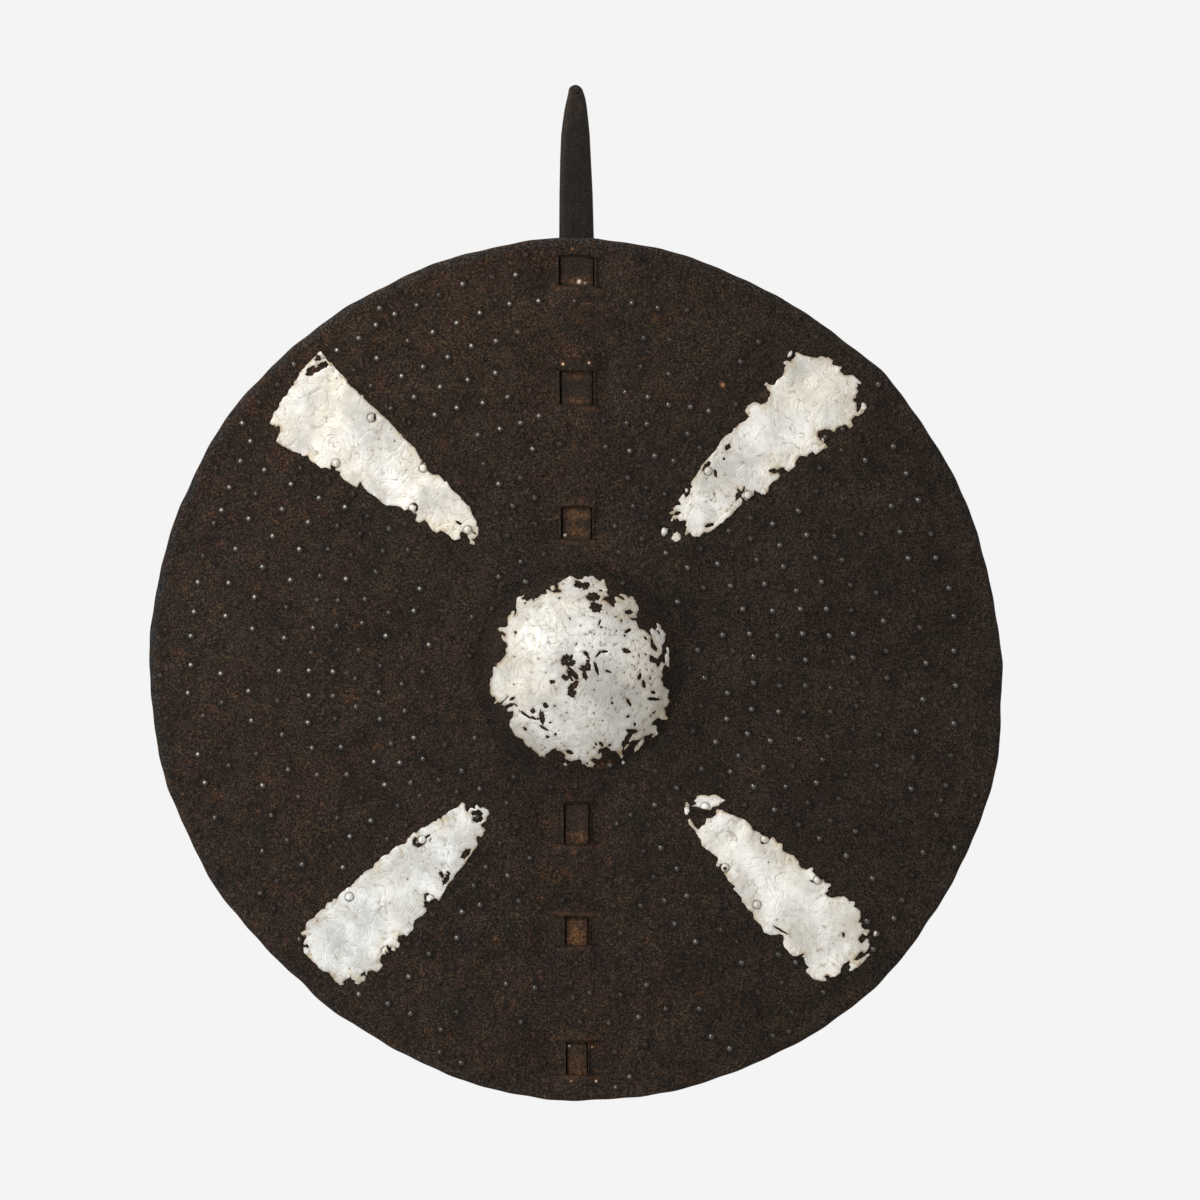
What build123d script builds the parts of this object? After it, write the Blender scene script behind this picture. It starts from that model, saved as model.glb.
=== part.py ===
# A round hide disc with a domed boss, carried on a flat wooden staff.
#
# The staff runs straight up the middle of the disc, behind it.  At six places
# the hide is cut across by a pair of slits, and the strip between the two
# slits is pushed back behind the staff, so each strip is a loop that the staff
# passes through and the bare wood shows through the window in front of it.
# The hand closes round the staff in the hollow behind the boss.
#
# Frame: origin on the staff's centre line, at the hand grip behind the boss.
# +Z runs up the staff to its pointed head, -Y is the decorated front face of
# the disc, +X is to the right for someone who looks at the front.
# All lengths are millimetres.

from build123d import *
import math
import os

os.makedirs("parts", exist_ok=True)

# ---------------------------------------------------------------- dimensions
HIDE_T = 4.5            # thickness of the dried hide
BEND_R = 2250.0         # radius that the flanks of the disc fall back on
STAFF_T = 9.0           # thickness of the staff, front to back
PLAY = 0.4              # room between the staff and the hide, each face

FRONT_Y = -(STAFF_T / 2 + PLAY + HIDE_T)   # front face of the hide, at x = 0
BACK_Y = FRONT_Y + HIDE_T                  # back face of the hide, at x = 0

BOSS_X, BOSS_Z = 2.0, -0.7    # centre of the boss
BOSS_R = 86.7                 # spherical radius of the boss, outside
BOSS_H = 32.0                 # how far it stands out from the disc
BOSS_FOOT_R = 8.0             # hollow curve round its foot
BOSS_Y = FRONT_Y - BOSS_H + BOSS_R   # centre of that sphere

LEAF_GAP = 0.1          # the size (glue) under the metal leaf
LEAF_T = 0.4            # metal leaf
LEAF_FAR = 64.4         # how far the centre leaf reaches over the boss

# Rim of the disc, trimmed by hand: (degrees from +X towards +Z, radius).
RIM = [
    (0.0, 300.5), (6.0, 298.4), (10.0, 297.6), (20.0, 298.3), (25.9, 299.1),
    (31.9, 298.4), (37.9, 299.1), (43.9, 301.0), (49.9, 298.6), (53.9, 297.9),
    (59.9, 298.7), (63.9, 298.2), (69.9, 299.4), (75.9, 301.5), (79.9, 302.0),
    (85.9, 303.1), (93.9, 304.6), (99.9, 302.7), (109.9, 303.0),
    (115.9, 301.8), (121.9, 302.5), (129.9, 302.8), (137.9, 303.3),
    (141.9, 304.4), (149.9, 303.5), (155.9, 302.2), (160.0, 303.3),
    (166.0, 301.9), (176.0, 302.4), (182.0, 301.2), (190.0, 300.6),
    (196.0, 301.0), (200.0, 298.2), (206.1, 297.9), (212.1, 297.5),
    (216.1, 295.3), (220.1, 294.4), (228.1, 293.1), (232.1, 295.2),
    (240.1, 295.0), (246.1, 296.5), (250.1, 297.7), (254.1, 299.6),
    (260.1, 301.0), (266.1, 302.8), (276.1, 302.8), (284.1, 304.2),
    (288.1, 303.5), (296.1, 304.1), (302.1, 305.3), (306.1, 306.1),
    (314.1, 306.9), (320.1, 305.9), (324.1, 304.3), (330.1, 304.4),
    (336.1, 303.4), (342.0, 304.2), (350.0, 302.9), (356.0, 299.3),
]

# Slit pairs down the middle of the disc: (lower slit z, upper slit z).
SLITS = [
    (269.6, 291.5), (185.2, 211.2), (92.2, 114.0),
    (-121.8, -93.6), (-194.3, -173.9), (-285.8, -261.2),
]
SLIT_HALF = 15.6        # half the length of a slit
SLIT_W = 0.8            # how far a slit gapes
LOOP_T = 4.0            # thickness of the stretched strip of each loop
LOOP_SIDE = 0.8         # room between the staff's edge and the loop's side

# Staff: a flat lath, wider towards the head.
STAFF_FOOT_Z = -298.0
STAFF_RIM_Z = 303.0
STAFF_FOOT_HALF = 7.2
STAFF_RIM_LEFT, STAFF_RIM_RIGHT = -12.7, 12.0
STAFF_HEAD = [
    (12.0, 303.0), (11.3, 335.0), (9.9, 360.4), (8.4, 385.0), (5.6, 402.7),
    (-1.8, 412.5), (-7.7, 402.7), (-10.5, 385.0), (-12.0, 360.4),
    (-12.5, 335.0), (-12.7, 303.0),
]
STAFF_EDGE = 1.6        # bevel along the staff's edges


def bend(x, y0):
    """Where the bent sheet that passes y0 on the centre line is, at x."""
    r = BEND_R - y0 + FRONT_Y
    return y0 + r - math.sqrt(r * r - x * x)


def staff_half(z):
    """Half the staff's width below the rim."""
    t = (z - STAFF_FOOT_Z) / (STAFF_RIM_Z - STAFF_FOOT_Z)
    return STAFF_FOOT_HALF + t * (-STAFF_RIM_LEFT - STAFF_FOOT_HALF)


HALF = 330.0            # half the width of the blank that the disc is cut from

# ------------------------------------------------------------------ hide disc
with BuildPart() as hide_disc:
    # A deep block with the bent front face.
    with BuildSketch(Plane.XY.offset(-HALF)):
        with BuildLine():
            ThreePointArc(
                (-HALF, bend(-HALF, FRONT_Y)),
                (0, FRONT_Y),
                (HALF, bend(HALF, FRONT_Y)),
            )
            Polyline(
                (HALF, bend(HALF, FRONT_Y)),
                (HALF, 150),
                (-HALF, 150),
                (-HALF, bend(-HALF, FRONT_Y)),
            )
        make_face()
    extrude(amount=2 * HALF)

    # Trimmed to the rim.
    with BuildSketch(Plane.XZ.offset(-149)):
        with BuildLine():
            Spline(
                *[
                    (r * math.cos(math.radians(a)), r * math.sin(math.radians(a)))
                    for a, r in RIM
                ],
                periodic=True,
            )
        make_face()
    extrude(amount=240, mode=Mode.INTERSECT)

    # The boss, with a hollow curve round its foot.
    with Locations((BOSS_X, BOSS_Y, BOSS_Z)):
        Sphere(BOSS_R, rotation=(90, 0, 0))
    foot_r = math.sqrt(BOSS_R**2 - (BOSS_R - BOSS_H) ** 2)
    foot = [
        e
        for e in hide_disc.edges()
        if abs(e.length - 2 * math.pi * foot_r) < 12 and e.center().Y < 0
    ]
    fillet(foot, radius=BOSS_FOOT_R)

    # The back face of the sheet, and the hollow behind the boss.
    with BuildSketch(Plane.XY.offset(-HALF - 5)):
        with BuildLine():
            ThreePointArc(
                (-HALF, bend(-HALF, BACK_Y)),
                (0, BACK_Y),
                (HALF, bend(HALF, BACK_Y)),
            )
            Polyline(
                (HALF, bend(HALF, BACK_Y)),
                (HALF, 160),
                (-HALF, 160),
                (-HALF, bend(-HALF, BACK_Y)),
            )
        make_face()
    extrude(amount=2 * HALF + 10, mode=Mode.SUBTRACT)
    with Locations((BOSS_X, BOSS_Y, BOSS_Z)):
        Sphere(BOSS_R - HIDE_T, rotation=(90, 0, 0), mode=Mode.SUBTRACT)

    # The windows between the slits of each pair.
    for low, high in SLITS:
        with BuildSketch(Plane.XY.offset(low)):
            with Locations((0, (FRONT_Y + BACK_Y) / 2)):
                Rectangle(2 * SLIT_HALF, 4 * HIDE_T)
        extrude(amount=high - low, mode=Mode.SUBTRACT)

    # The strip of each window, pushed back into a loop behind the staff.
    for low, high in SLITS:
        inner = staff_half(high) + LOOP_SIDE
        wall_y = STAFF_T / 2 + PLAY
        with BuildSketch(Plane.XY.offset(low + SLIT_W)):
            with BuildLine():
                Polyline(
                    (SLIT_HALF, FRONT_Y + 1.4),
                    (inner, wall_y),
                    (-inner, wall_y),
                    (-SLIT_HALF, FRONT_Y + 1.4),
                    (-SLIT_HALF - 5.0, FRONT_Y + 1.4),
                    (-inner - 3.6, wall_y + LOOP_T),
                    (inner + 3.6, wall_y + LOOP_T),
                    (SLIT_HALF + 5.0, FRONT_Y + 1.4),
                    close=True,
                )
            make_face()
        extrude(amount=high - low - 2 * SLIT_W)

hide_disc.part.label = "hide_disc"
export_step(hide_disc.part, "parts/hide_disc.step")

# ---------------------------------------------------------------------- staff
with BuildPart() as staff:
    with BuildSketch(Plane.XZ.offset(-STAFF_T / 2)):
        with BuildLine():
            Spline(*STAFF_HEAD, tangents=[(-0.02, 1), (-0.01, -1)])
            Polyline(
                (STAFF_RIM_LEFT, STAFF_RIM_Z),
                (-STAFF_FOOT_HALF, STAFF_FOOT_Z),
                (STAFF_FOOT_HALF, STAFF_FOOT_Z),
                (STAFF_RIM_RIGHT, STAFF_RIM_Z),
            )
        make_face()
    extrude(amount=STAFF_T)
    chamfer(
        staff.faces().filter_by(Axis.Y).edges().filter_by(
            lambda e: abs(e.center().Z - STAFF_FOOT_Z) > 1
        ),
        length=STAFF_EDGE,
    )

staff.part.label = "staff"
export_step(staff.part, "parts/staff.step")


# ----------------------------------------------------------------- metal leaf
# Each leaf is a thin skin laid on the front of the hide and cut to a ragged
# outline, given as (x, z) points.
LEAF_TOP_LEFT = [
    (-180.9, 223.9), (-162.6, 204.2), (-140.8, 183.0), (-123.9, 164.0),
    (-109.8, 146.4), (-97.2, 136.6), (-78.8, 117.6), (-69.0, 99.3),
    (-71.8, 88.7), (-84.5, 92.2), (-106.3, 105.6), (-123.9, 114.8),
    (-145.7, 124.6), (-165.4, 136.6), (-189.4, 150.0), (-211.2, 160.5),
    (-216.1, 173.2), (-200.6, 198.5), (-185.9, 218.9),
]
LEAF_TOP_RIGHT = [
    (154.9, 223.9), (179.5, 216.8), (199.2, 202.8), (204.2, 185.9),
    (193.6, 170.4), (169.7, 168.3), (178.1, 155.6), (156.3, 148.5),
    (137.3, 141.5), (135.2, 128.8), (114.8, 116.9), (96.4, 100.0),
    (70.4, 90.8), (59.1, 97.2), (76.7, 126.0), (101.4, 159.1),
    (119.0, 183.0), (136.6, 190.1), (142.9, 205.6),
]
LEAF_BOTTOM_LEFT = [
    (-80.3, -93.6), (-62.7, -98.6), (-63.4, -112.6), (-74.6, -130.9),
    (-96.4, -161.9), (-114.0, -176.7), (-125.3, -195.7), (-140.1, -212.6),
    (-152.1, -221.1), (-166.8, -223.2), (-192.9, -197.8), (-189.4, -179.5),
    (-167.6, -161.2), (-142.9, -140.1), (-121.1, -123.9), (-97.9, -106.3),
]
LEAF_BOTTOM_RIGHT = [
    (93.6, -87.3), (111.9, -102.8), (123.9, -114.0), (145.7, -126.7),
    (165.4, -140.8), (178.8, -151.4), (195.0, -166.1), (207.0, -185.2),
    (204.2, -205.6), (185.9, -214.0), (164.0, -214.7), (145.7, -190.8),
    (130.9, -180.9), (116.2, -162.6), (99.3, -136.6), (85.2, -114.0),
    (76.7, -97.2),
]
LEAF_CENTRE = [
    (-3.5, 64.0), (10.6, 64.0), (22.5, 56.9), (39.4, 49.0), (50.7, 35.0),
    (58.4, 24.3), (61.5, 3.5), (62.7, -11.3), (60.5, -26.5), (52.8, -38.0),
    (45.8, -50.0), (31.7, -60.1), (12.0, -64.3), (-5.6, -63.9),
    (-24.6, -60.0), (-43.6, -47.4), (-52.6, -32.9), (-59.8, -14.9),
    (-58.4, 3.4), (-54.6, 20.2), (-46.5, 37.1), (-32.8, 50.6), (-16.2, 60.1),
]


with BuildPart() as leaf_top_left:
    with BuildSketch(Plane.XY.offset(-HALF)):
        with BuildLine():
            ThreePointArc(
                (-HALF, bend(-HALF, FRONT_Y - LEAF_GAP)),
                (0, FRONT_Y - LEAF_GAP),
                (HALF, bend(HALF, FRONT_Y - LEAF_GAP)),
            )
            Line(
                (HALF, bend(HALF, FRONT_Y - LEAF_GAP)),
                (HALF, bend(HALF, FRONT_Y - LEAF_GAP - LEAF_T)),
            )
            ThreePointArc(
                (HALF, bend(HALF, FRONT_Y - LEAF_GAP - LEAF_T)),
                (0, FRONT_Y - LEAF_GAP - LEAF_T),
                (-HALF, bend(-HALF, FRONT_Y - LEAF_GAP - LEAF_T)),
            )
            Line(
                (-HALF, bend(-HALF, FRONT_Y - LEAF_GAP - LEAF_T)),
                (-HALF, bend(-HALF, FRONT_Y - LEAF_GAP)),
            )
        make_face()
    extrude(amount=2 * HALF)
    with BuildSketch(Plane.XZ.offset(-60)):
        Polygon(*LEAF_TOP_LEFT, align=None)
    extrude(amount=120, mode=Mode.INTERSECT)

leaf_top_left.part.label = "leaf_top_left"
export_step(leaf_top_left.part, "parts/leaf_top_left.step")

with BuildPart() as leaf_top_right:
    with BuildSketch(Plane.XY.offset(-HALF)):
        with BuildLine():
            ThreePointArc(
                (-HALF, bend(-HALF, FRONT_Y - LEAF_GAP)),
                (0, FRONT_Y - LEAF_GAP),
                (HALF, bend(HALF, FRONT_Y - LEAF_GAP)),
            )
            Line(
                (HALF, bend(HALF, FRONT_Y - LEAF_GAP)),
                (HALF, bend(HALF, FRONT_Y - LEAF_GAP - LEAF_T)),
            )
            ThreePointArc(
                (HALF, bend(HALF, FRONT_Y - LEAF_GAP - LEAF_T)),
                (0, FRONT_Y - LEAF_GAP - LEAF_T),
                (-HALF, bend(-HALF, FRONT_Y - LEAF_GAP - LEAF_T)),
            )
            Line(
                (-HALF, bend(-HALF, FRONT_Y - LEAF_GAP - LEAF_T)),
                (-HALF, bend(-HALF, FRONT_Y - LEAF_GAP)),
            )
        make_face()
    extrude(amount=2 * HALF)
    with BuildSketch(Plane.XZ.offset(-60)):
        Polygon(*LEAF_TOP_RIGHT, align=None)
    extrude(amount=120, mode=Mode.INTERSECT)

leaf_top_right.part.label = "leaf_top_right"
export_step(leaf_top_right.part, "parts/leaf_top_right.step")

with BuildPart() as leaf_bottom_left:
    with BuildSketch(Plane.XY.offset(-HALF)):
        with BuildLine():
            ThreePointArc(
                (-HALF, bend(-HALF, FRONT_Y - LEAF_GAP)),
                (0, FRONT_Y - LEAF_GAP),
                (HALF, bend(HALF, FRONT_Y - LEAF_GAP)),
            )
            Line(
                (HALF, bend(HALF, FRONT_Y - LEAF_GAP)),
                (HALF, bend(HALF, FRONT_Y - LEAF_GAP - LEAF_T)),
            )
            ThreePointArc(
                (HALF, bend(HALF, FRONT_Y - LEAF_GAP - LEAF_T)),
                (0, FRONT_Y - LEAF_GAP - LEAF_T),
                (-HALF, bend(-HALF, FRONT_Y - LEAF_GAP - LEAF_T)),
            )
            Line(
                (-HALF, bend(-HALF, FRONT_Y - LEAF_GAP - LEAF_T)),
                (-HALF, bend(-HALF, FRONT_Y - LEAF_GAP)),
            )
        make_face()
    extrude(amount=2 * HALF)
    with BuildSketch(Plane.XZ.offset(-60)):
        Polygon(*LEAF_BOTTOM_LEFT, align=None)
    extrude(amount=120, mode=Mode.INTERSECT)

leaf_bottom_left.part.label = "leaf_bottom_left"
export_step(leaf_bottom_left.part, "parts/leaf_bottom_left.step")

with BuildPart() as leaf_bottom_right:
    with BuildSketch(Plane.XY.offset(-HALF)):
        with BuildLine():
            ThreePointArc(
                (-HALF, bend(-HALF, FRONT_Y - LEAF_GAP)),
                (0, FRONT_Y - LEAF_GAP),
                (HALF, bend(HALF, FRONT_Y - LEAF_GAP)),
            )
            Line(
                (HALF, bend(HALF, FRONT_Y - LEAF_GAP)),
                (HALF, bend(HALF, FRONT_Y - LEAF_GAP - LEAF_T)),
            )
            ThreePointArc(
                (HALF, bend(HALF, FRONT_Y - LEAF_GAP - LEAF_T)),
                (0, FRONT_Y - LEAF_GAP - LEAF_T),
                (-HALF, bend(-HALF, FRONT_Y - LEAF_GAP - LEAF_T)),
            )
            Line(
                (-HALF, bend(-HALF, FRONT_Y - LEAF_GAP - LEAF_T)),
                (-HALF, bend(-HALF, FRONT_Y - LEAF_GAP)),
            )
        make_face()
    extrude(amount=2 * HALF)
    with BuildSketch(Plane.XZ.offset(-60)):
        Polygon(*LEAF_BOTTOM_RIGHT, align=None)
    extrude(amount=120, mode=Mode.INTERSECT)

leaf_bottom_right.part.label = "leaf_bottom_right"
export_step(leaf_bottom_right.part, "parts/leaf_bottom_right.step")

# The centre leaf is a skin over the crown of the boss.
with BuildPart() as centre_leaf:
    with Locations((BOSS_X, BOSS_Y, BOSS_Z)):
        Sphere(BOSS_R + LEAF_GAP + LEAF_T, rotation=(90, 0, 0))
        Sphere(BOSS_R + LEAF_GAP, rotation=(90, 0, 0), mode=Mode.SUBTRACT)
    with BuildSketch(Plane.XZ.offset(10)):
        Polygon(*LEAF_CENTRE, align=None)
        with Locations((BOSS_X, BOSS_Z)):
            Circle(LEAF_FAR, mode=Mode.INTERSECT)
    extrude(amount=60, mode=Mode.INTERSECT)

centre_leaf.part.label = "centre_leaf"
export_step(centre_leaf.part, "parts/centre_leaf.step")
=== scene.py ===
import math
import random

import bpy
import numpy as np
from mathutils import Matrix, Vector, noise
from mathutils.geometry import delaunay_2d_cdt


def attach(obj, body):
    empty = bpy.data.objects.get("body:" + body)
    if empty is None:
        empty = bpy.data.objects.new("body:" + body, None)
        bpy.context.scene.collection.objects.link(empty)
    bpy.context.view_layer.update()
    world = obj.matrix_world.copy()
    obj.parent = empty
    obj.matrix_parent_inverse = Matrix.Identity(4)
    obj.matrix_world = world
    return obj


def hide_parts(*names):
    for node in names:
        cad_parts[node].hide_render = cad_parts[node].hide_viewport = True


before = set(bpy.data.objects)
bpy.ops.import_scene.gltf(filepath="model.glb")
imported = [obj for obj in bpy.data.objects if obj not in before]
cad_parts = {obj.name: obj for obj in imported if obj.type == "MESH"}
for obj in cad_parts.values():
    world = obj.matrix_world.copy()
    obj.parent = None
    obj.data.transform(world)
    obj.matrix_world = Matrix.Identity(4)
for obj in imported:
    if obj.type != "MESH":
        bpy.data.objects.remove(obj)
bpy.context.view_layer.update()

MM = 0.001

# ------------------------------------------------------------------ dimensions
# Everything is worked out in millimetres, in the row's frame, and goes to
# metres as the meshes are made.
HIDE_T = 4.5
STAFF_T = 9.0
PLAY = 0.4
FRONT_Y = -(STAFF_T / 2 + PLAY + HIDE_T)
BACK_Y = FRONT_Y + HIDE_T
BEND_R = 2250.0
BOSS_X, BOSS_Z = 2.0, -0.7
BOSS_R, BOSS_H, FOOT_R = 86.7, 32.0, 8.0
BOSS_Y = FRONT_Y - BOSS_H + BOSS_R
_v = BOSS_R - BOSS_H + FOOT_R
FOOT_OUT = math.sqrt((BOSS_R + FOOT_R) ** 2 - _v * _v)   # foot, on the disc
FOOT_IN = FOOT_OUT * BOSS_R / (BOSS_R + FOOT_R)          # foot, on the boss

RIM = [
    (0.0, 300.5), (6.0, 298.4), (10.0, 297.6), (20.0, 298.3), (25.9, 299.1),
    (31.9, 298.4), (37.9, 299.1), (43.9, 301.0), (49.9, 298.6), (53.9, 297.9),
    (59.9, 298.7), (63.9, 298.2), (69.9, 299.4), (75.9, 301.5), (79.9, 302.0),
    (85.9, 303.1), (93.9, 304.6), (99.9, 302.7), (109.9, 303.0),
    (115.9, 301.8), (121.9, 302.5), (129.9, 302.8), (137.9, 303.3),
    (141.9, 304.4), (149.9, 303.5), (155.9, 302.2), (160.0, 303.3),
    (166.0, 301.9), (176.0, 302.4), (182.0, 301.2), (190.0, 300.6),
    (196.0, 301.0), (200.0, 298.2), (206.1, 297.9), (212.1, 297.5),
    (216.1, 295.3), (220.1, 294.4), (228.1, 293.1), (232.1, 295.2),
    (240.1, 295.0), (246.1, 296.5), (250.1, 297.7), (254.1, 299.6),
    (260.1, 301.0), (266.1, 302.8), (276.1, 302.8), (284.1, 304.2),
    (288.1, 303.5), (296.1, 304.1), (302.1, 305.3), (306.1, 306.1),
    (314.1, 306.9), (320.1, 305.9), (324.1, 304.3), (330.1, 304.4),
    (336.1, 303.4), (342.0, 304.2), (350.0, 302.9), (356.0, 299.3),
]

# The slits: height on the centre line, reach to the left and right, slope,
# sag at the middle, which side the main sheet is on (+1 above, -1 below), how
# wide its cut edge shows, how far the lip stands up, and how worn it is.
SLITS = [
    (291.2, 15.0, 16.8, -0.07, 0.6, 1, 1.0, 0.9, 0.25),
    (269.8, 14.6, 17.2, -0.05, 1.0, -1, 1.4, 1.6, 0.75),
    (212.4, 17.0, 14.8, -0.05, -2.8, 1, 1.2, 2.4, 0.45),
    (186.2, 15.2, 15.9, -0.06, 0.3, -1, 3.6, 1.2, 0.7),
    (114.0, 15.6, 14.6, 0.00, 0.9, 1, 2.6, 1.5, 0.6),
    (92.4, 16.2, 15.4, -0.04, -1.0, -1, 1.3, 1.6, 0.6),
    (-94.0, 14.8, 14.9, 0.03, 0.8, 1, 1.2, 1.0, 0.5),
    (-122.4, 14.8, 15.4, -0.01, -0.5, -1, 3.4, 1.2, 0.65),
    (-173.6, 15.4, 14.8, -0.03, -0.4, 1, 3.0, 1.4, 0.75),
    (-194.2, 14.8, 15.2, 0.02, -0.3, -1, 1.2, 1.0, 0.7),
    (-261.4, 14.9, 16.0, -0.02, -0.4, 1, 1.3, 1.3, 0.55),
    (-285.6, 14.6, 15.6, 0.00, 0.5, -1, 1.6, 1.6, 0.7),
]

STAFF_FOOT_Z, STAFF_RIM_Z, STAFF_FOOT_HALF = -298.0, 303.0, 7.2
STAFF_LEFT = [
    (-298.0, -7.2), (303.0, -12.7), (335.0, -12.5), (360.4, -12.0),
    (377.0, -11.3), (385.5, -10.3), (391.0, -9.5), (395.5, -8.8),
    (399.0, -8.1), (401.9, -7.4), (404.8, -6.7), (407.1, -6.3), (409.5, -5.9),
    (410.7, -5.3), (411.6, -4.2), (412.2, -2.6), (412.5, -1.7),
]
STAFF_RIGHT = [
    (-298.0, 7.2), (303.0, 12.0), (335.0, 11.2), (360.4, 9.9), (377.0, 9.1),
    (385.5, 8.3), (391.0, 7.7), (395.5, 7.2), (399.0, 6.7), (401.9, 6.2),
    (404.8, 5.5), (407.1, 4.7), (409.5, 3.8), (410.7, 2.8), (411.6, 1.7),
    (412.2, 0.4), (412.5, -0.6),
]

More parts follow.
